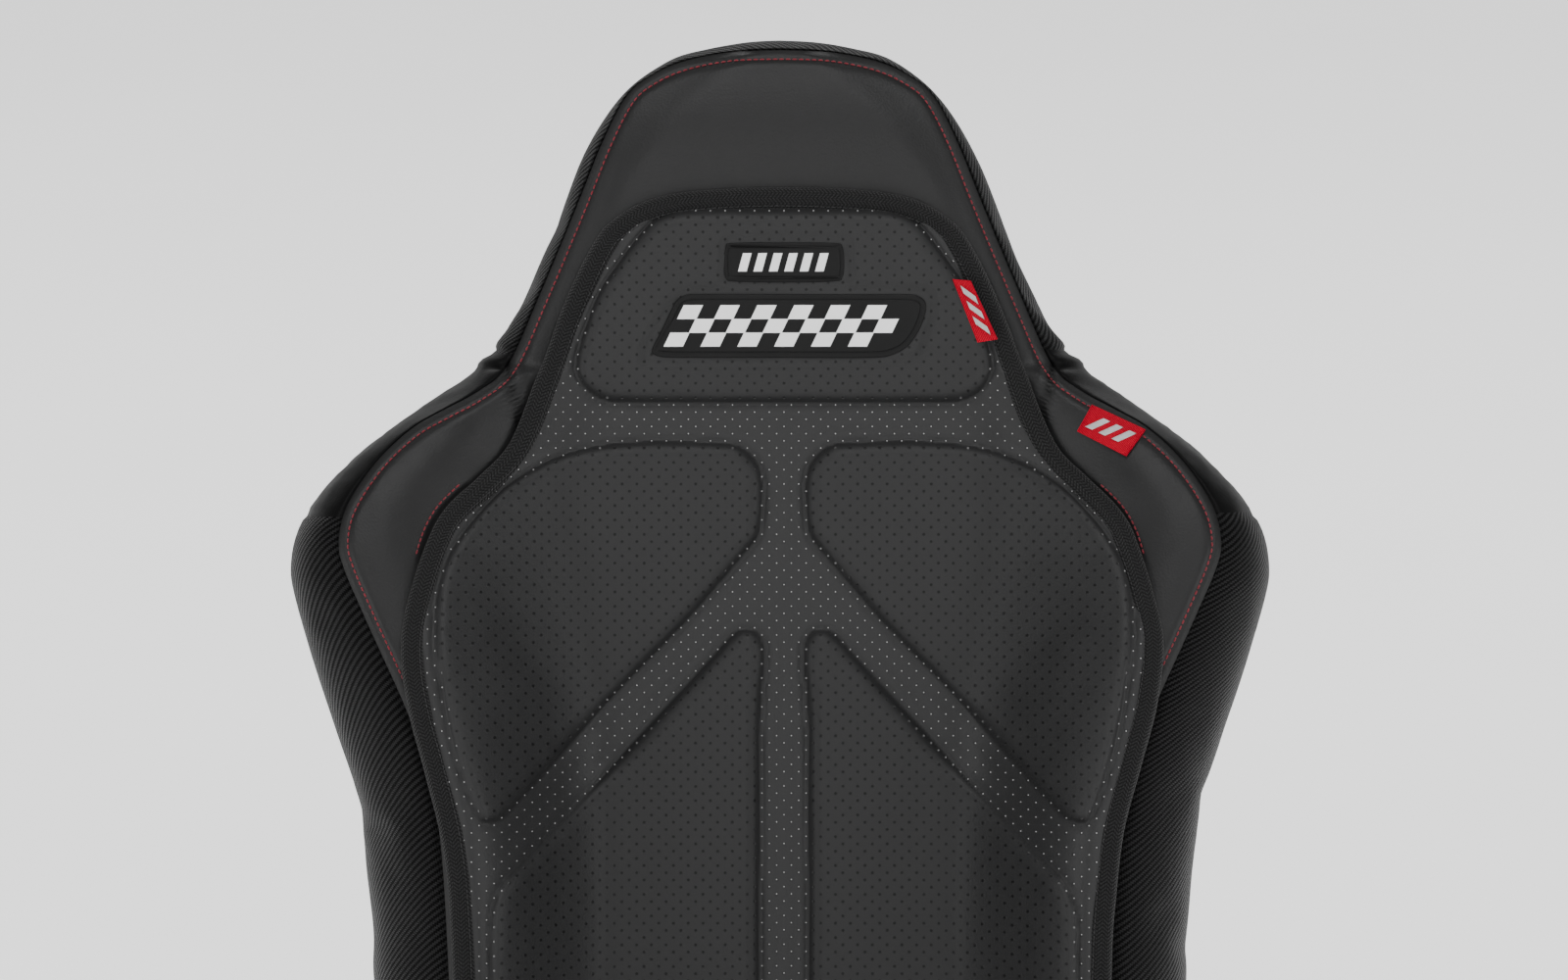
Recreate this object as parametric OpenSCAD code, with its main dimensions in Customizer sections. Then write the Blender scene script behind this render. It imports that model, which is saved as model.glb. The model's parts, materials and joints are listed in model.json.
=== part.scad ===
// Reclining racing seat on slide rails, with a quilted pad laid over its back and cushion.
// Frame: the origin is the centre of the four floor-rail holes on the floor plane. +Z is up and the seat
// faces -Y.

/* [Backrest] */
// Height of the backrest above its hinge
back_h = 790; // [780:5:800]
// Lean of the backrest from vertical at rest
back_lean = 18; // [14:1:20]
// Distance of the hinge behind the origin
hinge_y = 200; // [198:1:204]
// Height of the hinge above the floor
hinge_z = 150; // [148:1:154]
// Thickness of the sewn covers
cover_t = 2.5; // [2:0.5:3]

/* [Cushion] */
// Front end of the cushion foam
cushion_front_y = -330; // [-340:5:-325]
// Rear end of the cushion foam
cushion_rear_y = 128; // [120:1:130]
// Underside of the cushion foam
cushion_under_z = 78; // [78:1:84]

/* [Rails] */
// Distance of each rail from the middle
rail_x = 170; // [165:1:172]
// Length of a floor rail
rail_l = 440; // [430:10:460]
// Length of a seat rail
slider_l = 330; // [300:10:340]
// Distance between a floor rail's two fixing holes
rail_hole_pitch = 380; // [380:1:384]
// Radius of a fixing hole
rail_hole_r = 4.5; // [4:0.25:5]

/* [Frame] */
// Radius of the backrest and cushion tubes
tube_r = 11; // [10:0.5:11]
// Thickness of the hinge arms and side frames
plate_t = 3.5; // [3:0.5:4]
// Radius of the hinge bolt
hinge_bolt_r = 8; // [7:0.5:8]

/* [Pad] */
// Thickness of the pad at a foam panel
pad_t = 20; // [18:1:21]

/* [Hidden] */
LEFT = 1; // the sitter's left is +X
RIGHT = -1;
SIDES = [RIGHT, LEFT];
leather = "#303133";
carbon_vinyl = "#1b1c1e";
webbing_black = "#121213";
foam_grey = "#6a6b6c";
steel_black = "#1d1e20";
zinc = "#9a9da0";
plastic_black = "#161718";
label_red = "#c0141c";
rubber_black = "#101011";

// ---------------------------------------------------------------- curves and surfaces

function catmull(a, b, c, d, t) =
    0.5 * (2 * b + (c - a) * t + (2 * a - 5 * b + 4 * c - d) * t * t + (3 * b - a - 3 * c + d) * t * t * t);
function clamped(pts, i) = pts[min(max(i, 0), len(pts) - 1)];
function wrapped(pts, i) = pts[(i + len(pts)) % len(pts)];
// Smooth open curve through the points, n steps a span
function spline(pts, n) = [
    for (i = [0 : len(pts) - 2], k = [0 : n - 1])
        catmull(clamped(pts, i - 1), pts[i], clamped(pts, i + 1), clamped(pts, i + 2), k / n),
    pts[len(pts) - 1]
];
// Smooth closed outline through the points
function closed_spline(pts, n) = [
    for (i = [0 : len(pts) - 1], k = [0 : n - 1])
        catmull(wrapped(pts, i - 1), pts[i], wrapped(pts, i + 1), wrapped(pts, i + 2), k / n)
];
function unit(v) = v / max(norm(v), 0.000001);
function smooth(t) = let(c = min(max(t, 0), 1)) c * c * (3 - 2 * c);
// Closed outline moved inwards by d; the outline runs counter-clockwise
function inset(pts, d) = [
    for (i = [0 : len(pts) - 1])
        let(along = unit(wrapped(pts, i + 1) - wrapped(pts, i - 1)))
            pts[i] + d * [-along.y, along.x]
];
// Point grid moved along its surface normal by d
function shifted(g, d) = [
    for (i = [0 : len(g) - 1]) [
        for (j = [0 : len(g[0]) - 1])
            let(
                across = clamped(g[i], j + 1) - clamped(g[i], j - 1),
                along = clamped(g, i + 1)[j] - clamped(g, i - 1)[j]
            ) g[i][j] + d * unit(cross(across, along))
    ]
];

// Closed solid between two point grids of the same size
module thick_patch(outer, inner) {
    ni = len(outer);
    nj = len(outer[0]);
    n = ni * nj;
    function o(i, j) = i * nj + j;
    function k(i, j) = n + i * nj + j;
    points = [for (g = [outer, inner], row = g, p = row) p];
    sheet_faces = [
        for (i = [0 : ni - 2], j = [0 : nj - 2]) each [
            [o(i, j), o(i, j + 1), o(i + 1, j + 1)], [o(i, j), o(i + 1, j + 1), o(i + 1, j)],
            [k(i, j), k(i + 1, j + 1), k(i, j + 1)], [k(i, j), k(i + 1, j), k(i + 1, j + 1)]
        ]
    ];
    end_faces = [
        for (j = [0 : nj - 2]) each [
            [o(0, j), k(0, j + 1), o(0, j + 1)], [o(0, j), k(0, j), k(0, j + 1)],
            [o(ni - 1, j), o(ni - 1, j + 1), k(ni - 1, j + 1)], [o(ni - 1, j), k(ni - 1, j + 1), k(ni - 1, j)]
        ]
    ];
    side_faces = [
        for (i = [0 : ni - 2]) each [
            [o(i, 0), o(i + 1, 0), k(i + 1, 0)], [o(i, 0), k(i + 1, 0), k(i, 0)],
            [o(i, nj - 1), k(i + 1, nj - 1), o(i + 1, nj - 1)], [o(i, nj - 1), k(i, nj - 1), k(i + 1, nj - 1)]
        ]
    ];
    polyhedron(points, concat(sheet_faces, end_faces, side_faces), convexity = 8);
}

// Closed solid through a stack of flat rings with the same number of points
module loft(rings) {
    m = len(rings[0]);
    last = (len(rings) - 1) * m;
    sides = [
        for (i = [0 : len(rings) - 2], j = [0 : m - 1])
            let(a = i * m + j, b = i * m + (j + 1) % m, c = a + m, d = b + m) each [[a, b, d], [a, d, c]]
    ];
    caps = [[for (j = [m - 1 : -1 : 0]) j], [for (j = [0 : m - 1]) last + j]];
    polyhedron([for (r = rings, p = r) p], concat(sides, caps), convexity = 8);
}

// Round tube bent through the points; up is roughly square to the bends
module bent_tube(pts, r, up) {
    sides = 20;
    last = len(pts) - 1;
    loft([
        for (i = [0 : last])
            let(
                into = unit(pts[i] - clamped(pts, max(i - 1, 0))),
                out = unit(pts[min(i + 1, last)] - pts[i]),
                t = unit(into + out),
                s = unit(cross(t, up)),
                n = cross(s, t),
                miter = i == 0 || i == last ? 1 : 1 / max(t * out, 0.5)
            ) [for (a = [0 : sides - 1])
                pts[i] + r * cos(a * 360 / sides) * miter * s + r * sin(a * 360 / sides) * n]
    ]);
}
// Corners of a path rounded off, n steps a corner
function rounded(pts, cut, n) = [
    pts[0],
    for (i = [1 : len(pts) - 2])
        let(
            a = pts[i] + cut * unit(pts[i - 1] - pts[i]),
            b = pts[i] + cut * unit(pts[i + 1] - pts[i])
        ) for (k = [0 : n]) let(t = k / n) (1 - t) * (1 - t) * a + 2 * t * (1 - t) * pts[i] + t * t * b,
    pts[len(pts) - 1]
];

// Cylinder along X from x0 to x1
module pin_x(x0, x1, y, z, r) {
    translate([min(x0, x1), y, z]) rotate([0, 90, 0]) cylinder(h = abs(x1 - x0), r = r, $fn = 48);
}

// Flat plate in the YZ plane from x0 to x1, from an outline of [y, z] points
module plate_x(x0, x1, outline) {
    translate([min(x0, x1), 0, 0])
        rotate([90, 0, 90]) linear_extrude(height = abs(x1 - x0)) polygon(outline);
}

// Children drawn in the backrest's own frame: Z up the backrest from the hinge, -Y out of its front
module on_backrest() {
    translate([0, hinge_y, hinge_z]) rotate([-back_lean, 0, 0]) children();
}

// ---------------------------------------------------------------- backrest shape

// Each list is [height above the hinge, value]. Values are half widths, or distances in front of the
// hinge plane.
silhouette = spline([
    [790, 0], [789, 24], [786, 44], [781, 62], [771, 80], [751, 100], [729, 114], [690, 129], [637, 151],
    [613, 166], [601, 176], [590, 188], [567, 218], [543, 250], [520, 273], [498, 287], [478, 292],
    [449, 288], [403, 273], [355, 256], [308, 246], [260, 242], [225, 241], [150, 234], [90, 223], [30, 217.5]
], 4);
crease = spline([
    [784, 0], [783.5, 20], [782, 40], [778, 60], [769, 80], [757, 92], [740, 102], [715, 112], [665, 131],
    [632, 147], [605, 158], [587, 170], [557, 220], [538, 240], [522, 252], [510, 258], [490, 262],
    [475, 259], [430, 240], [390, 221], [350, 208], [290, 198], [230, 196], [120, 192], [30, 188]
], 4);
valley = spline([
    [784, 10], [740, 60], [700, 90], [640, 100], [600, 108], [560, 112], [520, 112], [470, 110], [410, 106],
    [350, 104], [300, 102], [200, 104], [120, 108], [30, 110]
], 3);
insert_depth = spline([
    [30, 46], [110, 50], [200, 53], [300, 52], [420, 50], [520, 50], [600, 52], [680, 56], [740, 56],
    [784, 46]
], 3);
crest_depth = spline([
    [30, 60], [70, 82], [130, 112], [200, 136], [300, 146], [410, 138], [450, 130], [490, 121], [520, 111],
    [545, 99], [570, 84], [590, 71], [605, 62], [680, 55], [740, 51], [784, 42]
], 3);
side_depth = spline([
    [30, 22], [120, 36], [300, 42], [470, 42], [560, 28], [600, 16], [700, 10], [790, 8]
], 3);
rear_depth = 24;
rear_corner = 14;

function bolster_rise(s) = let(c = min(max(s, 0), 1)) smooth(c * 1.15) * 0.75 + 0.25 * sin(90 * c);
// Distance of the cover's front face ahead of the hinge plane at (x, z)
function front_depth(x, z) =
    let(
        edge = max(lookup(z, crease), 1),
        dip = min(lookup(z, valley), edge - 0.5),
        s = (abs(x) - dip) / (edge - dip)
    ) lookup(z, insert_depth) + (lookup(z, crest_depth) - lookup(z, insert_depth)) * bolster_rise(s);
// Side of the cover from the crease (a = 0) round the widest line (a = 90) to the rear seam (a = 180)
function band_point(z, a) =
    let(
        xs = lookup(z, silhouette),
        xc = min(lookup(min(z, 784), crease), xs - 4),
        front = lookup(min(z, 784), crest_depth),
        mid = lookup(z, side_depth)
    ) a <= 90
        ? [xc + (xs - xc) * sin(a), -(mid + (front - mid) * cos(a)), z]
        : [xs + rear_corner * (sin(a) - 1), -mid - (mid + rear_depth) * cos(a), z];

front_heights = [30, 60, 100, 150, 200, 250, 300, 350, 400, 440, 480, 510, 535, 555, 575, 590, 605, 630, 670,
    710, 740, 758, 770, 778, 783];
front_columns = 8;

module backrest_front_cover() {
    outer = [
        for (z = front_heights) [
            for (k = [-front_columns : front_columns])
                let(x = k / front_columns * lookup(z, crease)) [x, -front_depth(x, z), z]
        ]
    ];
    color(leather) on_backrest() thick_patch(shifted(outer, 0), shifted(outer, -cover_t));
}

// The band is one long strip from the lower right corner over the top to the lower left corner
band_steps = [30, 70, 120, 180, 240, 300, 350, 400, 440, 475, 500, 525, 550, 575, 592, 605, 630, 670,
    710, 740,
    762, 776, 784, 788];
band_angles = [4, 25, 50, 75, 95, 120, 150, 180];
function band_row(z, side, top) = [
    for (a = band_angles)
        let(p = band_point(z, a)) top ? [0, p.y, 790.5 - 6.5 * pow(cos(a / 2 + 45),
            2) * 2] : [side * p.x, p.y, z]
];
function band_grid() = concat(
    [for (z = band_steps) band_row(z, RIGHT, false)],
    [band_row(789, RIGHT, true)],
    [for (i = [len(band_steps) - 1 : -1 : 0]) band_row(band_steps[i], LEFT, false)]
);
module backrest_side_band() {
    outer = band_grid();
    color(carbon_vinyl) on_backrest() thick_patch(shifted(outer, -cover_t), outer);
}

module backrest_rear_cover() {
    outer = [
        for (z = [33, 100, 200, 300, 400, 470, 510, 550, 585, 610, 660, 720, 760, 779, 783]) [
            for (k = [-4 : 4])
                let(x = k / 4 * max(lookup(z, silhouette) - rear_corner - 3, 8))
                    [x, rear_depth + 3.2 - 6 * pow(k / 4, 4), z]
        ]
    ];
    color(leather) on_backrest() thick_patch(outer, shifted(outer, cover_t - 0.5));
}

frame_run = [[196, 18], [196, 240], [222, 420], [222, 505], [143, 598], [97, 682], [70, 730], [0, 735]];
frame_span = [for (p = frame_run) [p.y, p.x]];
function tube_reach(z) = lookup(z, frame_span);
// Foam block: the front is the cover's inside and the rear is recessed for the frame
module backrest_foam() {
    heights = [34, 60, 90, 118, 122, 160, 200, 250, 300, 350, 400, 440, 480, 510, 535, 555, 575, 590,
        605, 630,
        670, 705, 730, 752, 760, 772, 780];
    gap = cover_t + 1.2;
    cover_gap = cover_t + 3.5;
    function half_ring(z) =
        let(
            low = z < 120,
            widest = low ? arm_x - 2.5 : 400,
            rear = low ? -17 : rear_depth - 8,
            reach = z > 720 ? 92 : tube_reach(z) + 19,
            recess = z > 755 ? 6 : min(reach, lookup(z, silhouette) - gap - 6, widest - 1.5),
            pocket = z > 755 ? 4 : low ? -17.5 : -16
        ) concat(
            [for (k = [0 : 8])
                let(x = k / 8 * min(lookup(z, crease) - gap, widest - 2)) [x, cover_gap - front_depth(x,
                    z), z]],
            [for (a = [30, 60, 90, 120, 145])
                let(p = band_point(z, a))
                    [min(p.x - gap * 1.15, widest - 1 + a / 145), min(p.y + gap * cos(a),
                    rear - 8 + a / 25), z]],
            [[recess, rear, z], [recess, pocket, z], [0, pocket, z]]
        );
    function ring(z) =
        let(half = half_ring(z), n = len(half)) concat(
            half,
            [for (i = [n - 2 : -1 : 1]) [-half[i].x, half[i].y, z]]
        );
    color(foam_grey) on_backrest() loft([for (z = heights) ring(z)]);
}

module backrest_frame() {
    side_run = [for (p = frame_run) [p.x, 0, p.y]];
    hoop = concat(side_run, [for (i = [len(side_run) - 2 : -1 : 0]) [-side_run[i].x, 0, side_run[i].z]]);
    hoop_bore = [for (i = [0 : len(hoop) - 1]) i == 0 || i == len(hoop) - 1 ? hoop[i] - [0, 0, 2] : hoop[i]];
    color(steel_black) on_backrest() difference() {
        union() {
            bent_tube(rounded(hoop, 18, 2), tube_r, [0, 1, 0]);
            for (z = [130, 330, 560])
                pin_x(-tube_reach(z), tube_reach(z), 0, z, tube_r - 3);
        }
        bent_tube(rounded(hoop_bore, 18, 2), tube_r - 1.8, [0, 1, 0]);
        for (z = arm_bolt_heights)
            pin_x(-230, 230, 0, z, 4.1);
    }
}

module backrest_webbing() {
    strap_w = 40;
    color(webbing_black) on_backrest()
        for (z = [190, 255, 395, 460])
            translate([-tube_reach(z) - 4, -tube_r - 2.6, z - strap_w / 2]) cube([2 * tube_reach(z) + 8,
                2, strap_w]);
}

// ---------------------------------------------------------------- recliner

arm_x = 207.5; // inner face of the hinge arm
web_x = 219; // inner face of the side frame's upright web
arm_bolt_heights = [48, 88];
sector_r = 46;
sector_teeth = 28;
tooth_pitch = 3; // degrees
pawl_angle = 210; // direction of the pawl from the hinge, from +Y towards +Z
pawl_pin = [-62, 2];
lever_axis = [-46, -58];

function polar(r, a) = [r * cos(a), r * sin(a)];
function zigzag(first, count, low, high) = [
    for (i = [0 : count - 1]) each [
        polar(low, first + i * tooth_pitch), polar(high, first + (i + 0.35) * tooth_pitch),
        polar(high, first + (i + 0.65) * tooth_pitch)
    ],
    polar(low, first + count * tooth_pitch)
];

// Arm on the backrest, drawn upright: its lower end carries the toothed sector
module hinge_arm(side) {
    first = pawl_angle - 24 + back_lean;
    outline = concat(
        zigzag(first, sector_teeth, sector_r - 3, sector_r),
        [[12, -34], [20, -20], [20, 0], [14, 20], [12, 40], [12, 112], [-12, 112], [-12, 40], [-20, 26],
        [-38, 16]]
    );
    color(steel_black) on_backrest() difference() {
        plate_x(side * arm_x, side * (arm_x + plate_t), outline);
        pin_x(side * (arm_x - 1), side * (arm_x + plate_t + 1), 0, 0, hinge_bolt_r + 0.05);
        for (z = arm_bolt_heights)
            pin_x(side * (arm_x - 1), side * (arm_x + plate_t + 1), 0, z, 4.1);
    }
}

module hinge_arm_bolts() {
    color(zinc) on_backrest()
        for (side = SIDES, z = arm_bolt_heights)
            union() {
                pin_x(side * 182, side * (arm_x + plate_t), 0, z, 4);
                pin_x(side * (arm_x + plate_t), side * (arm_x + plate_t + 1.8), 0, z, 6.5);
                pin_x(side * 178, side * 184.5, 0, z, 6.5);
            }
}

module hinge_bolts() {
    color(zinc) translate([0, hinge_y, hinge_z])
        for (side = SIDES) union() {
            pin_x(side * (arm_x - 4), side * (web_x + plate_t + 2), 0, 0, hinge_bolt_r);
            pin_x(side * (arm_x - 8), side * (arm_x - 0.4), 0, 0, 13);
            pin_x(side * (arm_x + plate_t + 0.4), side * (web_x - 0.2), 0, 0, 14);
            pin_x(side * (web_x + plate_t + 0.2), side * (web_x + plate_t + 4), 0, 0, 13);
            pin_x(side * (web_x + plate_t + 4), side * (web_x + plate_t + 14), 0, 0, 6);
        }
}

module pawl_pins() {
    color(zinc) translate([0, hinge_y, hinge_z])
        for (side = SIDES) union() {
            pin_x(side * (arm_x - 1.5), side * (web_x + plate_t + 1), pawl_pin.x, pawl_pin.y, 4);
            pin_x(side * (arm_x - 4), side * (arm_x - 0.4), pawl_pin.x, pawl_pin.y, 6);
            pin_x(side * (web_x + plate_t + 0.2), side * (web_x + plate_t + 2.5), pawl_pin.x, pawl_pin.y, 6);
        }
}

// Toothed pawl that locks the sector; the lever rod's cam pushes its foot forwards to free it
module pawl(side) {
    tooth_low = sector_r + 0.6;
    outline = concat(
        [for (i = [0 : 6]) polar(tooth_low + (i % 2) * 2.4, pawl_angle - 8 + i * 2.6)],
        [[-46, -36], [-56.5, -40], [-56.5, -65], [-50.4, -67.5], [-50.4, -73], [-62, -74], [-66, -66],
        [-67, -20],
            [-72, 0], [-68, 10], [-56, 10], [-49, 0]]
    );
    color(zinc) translate([0, hinge_y, hinge_z]) difference() {
        plate_x(side * arm_x, side * (arm_x + plate_t), outline);
        pin_x(side * (arm_x - 1), side * (arm_x + plate_t + 1), pawl_pin.x, pawl_pin.y, 4.05);
    }
}

// Flat spiral spring that helps the backrest up
module recline_springs() {
    turns = 3.5;
    steps = 84;
    function spiral(r0, r1) = [
        for (i = [0 : steps]) polar(r0 + (r1 - r0) * i / steps, i * turns * 360 / steps)
    ];
    color(steel_black) translate([0, hinge_y, hinge_z])
        for (side = SIDES) {
            outer = spiral(8.7, 35.2);
            inner = spiral(7, 33.5);
            plate_x(side * (web_x + plate_t + 5), side * (web_x + plate_t + 12),
                concat(outer, [for (i = [steps : -1 : 0]) inner[i]]));
        }
}

module lever_rod() {
    color(zinc) translate([0, hinge_y + lever_axis.x, hinge_z + lever_axis.y]) union() {
        pin_x(-272, 272, 0, 0, 5);
        for (side = SIDES)
            plate_x(side * arm_x, side * (arm_x + plate_t),
                [[-3.6, -14], [3, -14], [8, -2], [6, 6], [-4, 7], [-8, 1], [-6.5, -4], [-3.6, -8]]);
    }
}

module recline_lever(side) {
    outline = closed_spline([
        [14, -6], [14, 8], [2, 13], [-30, 9], [-70, 12], [-118, 20], [-122, 10], [-116, 6], [-70, -3],
        [-30, -6],
        [2, -12]
    ], 4);
    color(steel_black) translate([0, hinge_y + lever_axis.x, hinge_z + lever_axis.y]) difference() {
        plate_x(side * 265, side * 269, outline);
        pin_x(side * 260, side * 275, 0, 0, 5.05);
    }
}

module lever_grips() {
    color(rubber_black) translate([0, hinge_y + lever_axis.x, hinge_z + lever_axis.y])
        for (side = SIDES) difference() {
            plate_x(side * 261.5, side * 272.5, closed_spline([
                [-78, 19], [-118, 26], [-129, 18], [-124, 1], [-78, -9], [-70, 4]
            ], 5));
            plate_x(side * 264.8, side * 269.2, closed_spline([
                [14, -6.5], [14, 8.5], [2, 13.5], [-30, 9.5], [-70, 12.5], [-118, 20.5], [-122.6, 10],
                [-116, 5.5],
                [-70, -3.5], [-30, -6.5], [2, -12.5]
            ], 4));
        }
}

// Pressed side frame: an upright web for the hinge and a floor flange for the seat rail
side_web = [
    [-305, 33], [228, 33], [240, 60], [238, 120], [234, 156], [214, 174], [188, 175], [166, 167], [140, 158],
    [120, 128], [104, 82], [80, 70], [-296, 70], [-305, 60]
];
module side_frame(side) {
    color(steel_black) difference() {
        union() {
            plate_x(side * web_x, side * (web_x + plate_t), side_web);
            translate([min(side * (rail_x - 20), side * (web_x + plate_t)), -190, 30])
                cube([web_x + plate_t - rail_x + 20, 400, 3]);
            plate_x(side * web_x, side * (web_x + plate_t), [[-190, 30], [210, 30], [210, 36], [-190, 36]]);
        }
        pin_x(side * 210, side * 230, hinge_y, hinge_z, hinge_bolt_r + 0.05);
        pin_x(side * 210, side * 230, hinge_y + pawl_pin.x, hinge_z + pawl_pin.y, 4.05);
        pin_x(side * 210, side * 230, hinge_y + lever_axis.x, hinge_z + lever_axis.y, 5.06);
        for (y = tube_ys)
            pin_x(side * 210, side * 230, y, tube_z, 5.1);
        for (y = rail_bolt_ys)
            translate([side * rail_x, y, 25]) cylinder(h = 12, r = 4.1, $fn = 32);
        for (y = [-190, -110, -30])
            pin_x(side * 210, side * 230, y, 52, 9);
    }
}

cover_outline = closed_spline([
    [92, 46], [160, 42], [232, 46], [250, 80], [252, 130], [243, 172], [214, 198], [178, 196], [146, 176],
    [122, 144], [104, 104], [86, 74]
], 5);
// Moulded cover over the hinge, open towards the side frame
module hinge_cover(side) {
    color(plastic_black) difference() {
        plate_x(side * 224, side * 261, cover_outline);
        plate_x(side * 220, side * 258.4, inset(cover_outline, 2.6));
        pin_x(side * 250, side * 265, hinge_y + lever_axis.x, hinge_z + lever_axis.y, 7);
        for (p = cover_screws)
            pin_x(side * 250, side * 265, p.x, p.y, 2.6);
    }
}
cover_screws = [[104, 72], [232, 66], [226, 108]];
module hinge_cover_screws() {
    color(zinc)
        for (side = SIDES, p = cover_screws) union() {
            pin_x(side * (web_x + plate_t), side * 262, p.x, p.y, 2.5);
            pin_x(side * 261, side * 263.4, p.x, p.y, 5);
        }
}

// ---------------------------------------------------------------- cushion frame and slide rails

tube_ys = [-285, 112];
tube_z = 56;
rail_bolt_ys = [-120, 120];

module cushion_cross_tubes() {
    color(steel_black)
        for (y = tube_ys) difference() {
            union() {
                pin_x(-web_x + 0.2, web_x - 0.2, y, tube_z, tube_r);
                pin_x(-web_x - plate_t - 2, web_x + plate_t + 2, y, tube_z, 5);
            }
            pin_x(-web_x + 20, web_x - 20, y, tube_z, tube_r - 1.8);
            pin_x(-250, 250, y, tube_z, 3);
        }
}

module cushion_webbing() {
    strap_l = tube_ys[1] - tube_ys[0];
    color(webbing_black) {
        for (x = [-150, -50, 50, 150])
            translate([x - 22, tube_ys[0], tube_z + tube_r + 0.2]) cube([44, strap_l, 2]);
        for (y = [-200, -90, 20])
            translate([-web_x + 4, y - 22, tube_z + tube_r + 2.6]) cube([2 * web_x - 8, 44, 2]);
    }
}

// Floor channel with inturned lips; the inner lip carries the lock's rack
module floor_rail(side) {
    rack_pitch = 12;
    color(zinc) translate([side * rail_x, 0, 0]) difference() {
        translate([-22, -rail_l / 2, 0]) cube([44, rail_l, 20]);
        translate([-19.5, -rail_l, 2.5]) cube([39, 2 * rail_l, 15]);
        translate([-11.5, -rail_l, 10]) cube([23, 2 * rail_l, 20]);
        for (y = [-rail_hole_pitch / 2, rail_hole_pitch / 2])
            translate([0, y, -1]) cylinder(h = 5, r = rail_hole_r, $fn = 48);
        for (i = [-17 : -1])
            translate([-side * 17 - 3, i * rack_pitch - 3, 17]) cube([6, 6, 4]);
    }
}

module seat_rail(side) {
    color(zinc) translate([side * rail_x, 0, 0]) difference() {
        union() {
            translate([-16.5, -slider_l / 2, 9]) cube([33, slider_l, 3]);
            translate([-8, -slider_l / 2, 9]) cube([16, slider_l, 20.8]);
            translate([min(-side * 12, side * 20), -slider_l / 2, 26.8]) cube([32, slider_l, 3]);
            translate([min(-side * 11, -side * 27), latch_y - 8, 26.8]) cube([16, 16, 3]);
            pin_x(-side * 24, -side * 41, latch_y, handle_z, 3.9);
            translate([min(-side * 24, -side * 27), latch_y - 7, handle_z - 5]) cube([3, 14, 15]);
        }
        translate([-5.5, -slider_l, 8]) cube([11, 2 * slider_l, 18.8]);
        for (y = rail_bolt_ys)
            translate([0, y, 20]) cylinder(h = 12, r = 4.1, $fn = 32);
    }
}

module rail_bolts() {
    color(zinc)
        for (side = SIDES, y = rail_bolt_ys)
            translate([side * rail_x, y, 0]) union() {
                translate([0, 0, 24]) cylinder(h = 10, r = 4, $fn = 32);
                translate([0, 0, 33.1]) cylinder(h = 5, r = 7, $fn = 6);
            }
}

cage_l = 250;
roller_ys = [-90, 90];
ball_ys = [-110, -50, 50, 110];
module ball_cages() {
    color(zinc)
        for (side = SIDES) translate([side * rail_x, 0, 0]) difference() {
            union() {
                translate([-18.8, -cage_l / 2, 5]) cube([37.6, cage_l, 1.2]);
                for (e = SIDES)
                    translate([e * 18.2 - 0.6, -cage_l / 2, 5]) cube([1.2, cage_l, 11.5]);
            }
            for (y = roller_ys)
                translate([-12, y - 4, 4]) cube([24, 8, 4]);
        }
}
module rail_balls() {
    color(zinc)
        for (side = SIDES, e = SIDES, y = ball_ys)
            translate([side * rail_x + e * 14.2, y, 14.75]) sphere(r = 2.65, $fn = 24);
}
module rail_rollers() {
    color(zinc)
        for (side = SIDES, y = roller_ys)
            pin_x(side * rail_x - 10, side * rail_x + 10, y, 5.75, 3.15);
}

latch_y = -40;
handle_z = 19;
handle_x = 136;
handle_front_y = -354;
// Round bar under the front of the seat that lifts both rail locks
module slide_handle() {
    color(steel_black) difference() {
        union() {
            bent_tube(rounded([
                [-handle_x, latch_y, handle_z], [-handle_x, -300, handle_z], [-108, handle_front_y, 26],
                [108, handle_front_y, 26], [handle_x, -300, handle_z], [handle_x, latch_y, handle_z]
            ], 15, 3), 6, [0, 0, 1]);
            for (side = SIDES)
                pin_x(side * (handle_x - 6), side * (handle_x + 6.6), latch_y, handle_z, 8);
        }
        for (side = SIDES)
            pin_x(side * (handle_x - 8), side * (handle_x + 7), latch_y, handle_z, 3.95);
    }
}
module slide_handle_grip() {
    color(rubber_black) difference() {
        pin_x(-70, 70, handle_front_y, 26, 9);
        pin_x(-71, 71, handle_front_y, 26, 6.05);
    }
}
// Comb of lock teeth over each floor rail's rack
module slide_latches() {
    color(zinc)
        for (side = SIDES) union() {
            translate([min(side * (handle_x + 1), side * (rail_x - 12.5)), -126, 22])
                cube([rail_x - 13.5 - handle_x, 36, 2]);
            for (y = [-96, -108, -120])
                translate([side * (rail_x - 17) - 2.2, y - 2.2, 20.3]) cube([4.4, 4.4, 2]);
        }
}

// ---------------------------------------------------------------- cushion shape

// Each list is [y, value]: half widths or heights above the floor
cushion_side = spline([
    [-330, 196], [-322, 222], [-305, 238], [-270, 249], [-200, 255], [-60, 255], [30, 250], [60, 244],
    [80, 237], [92, 228], [104, 214], [128, 208]
], 3);
cushion_crease = spline([
    [-330, 180], [-318, 198], [-295, 210], [-240, 219], [-140, 223], [-20, 220], [60, 210], [104, 196],
    [128, 192]
], 3);
cushion_middle = spline([
    [-330, 158], [-325, 182], [-314, 203], [-290, 220], [-250, 228], [-150, 222], [0, 206], [100, 198],
    [128, 192]
], 3);
cushion_crest = spline([
    [-330, 156], [-322, 188], [-308, 218], [-280, 246], [-230, 270], [-140, 284], [-50, 276], [50, 246],
    [104, 212], [128, 192]
], 3);
cushion_valley = spline([[-330, 120], [-250, 128], [-100, 134], [60, 130], [128, 120]], 3);

function top_height(x, y) =
    let(
        edge = lookup(y, cushion_crease),
        dip = lookup(y, cushion_valley),
        s = (abs(x) - dip) / (edge - dip)
    ) lookup(y, cushion_middle) + (lookup(y, cushion_crest) - lookup(y, cushion_middle)) * bolster_rise(s);
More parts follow.
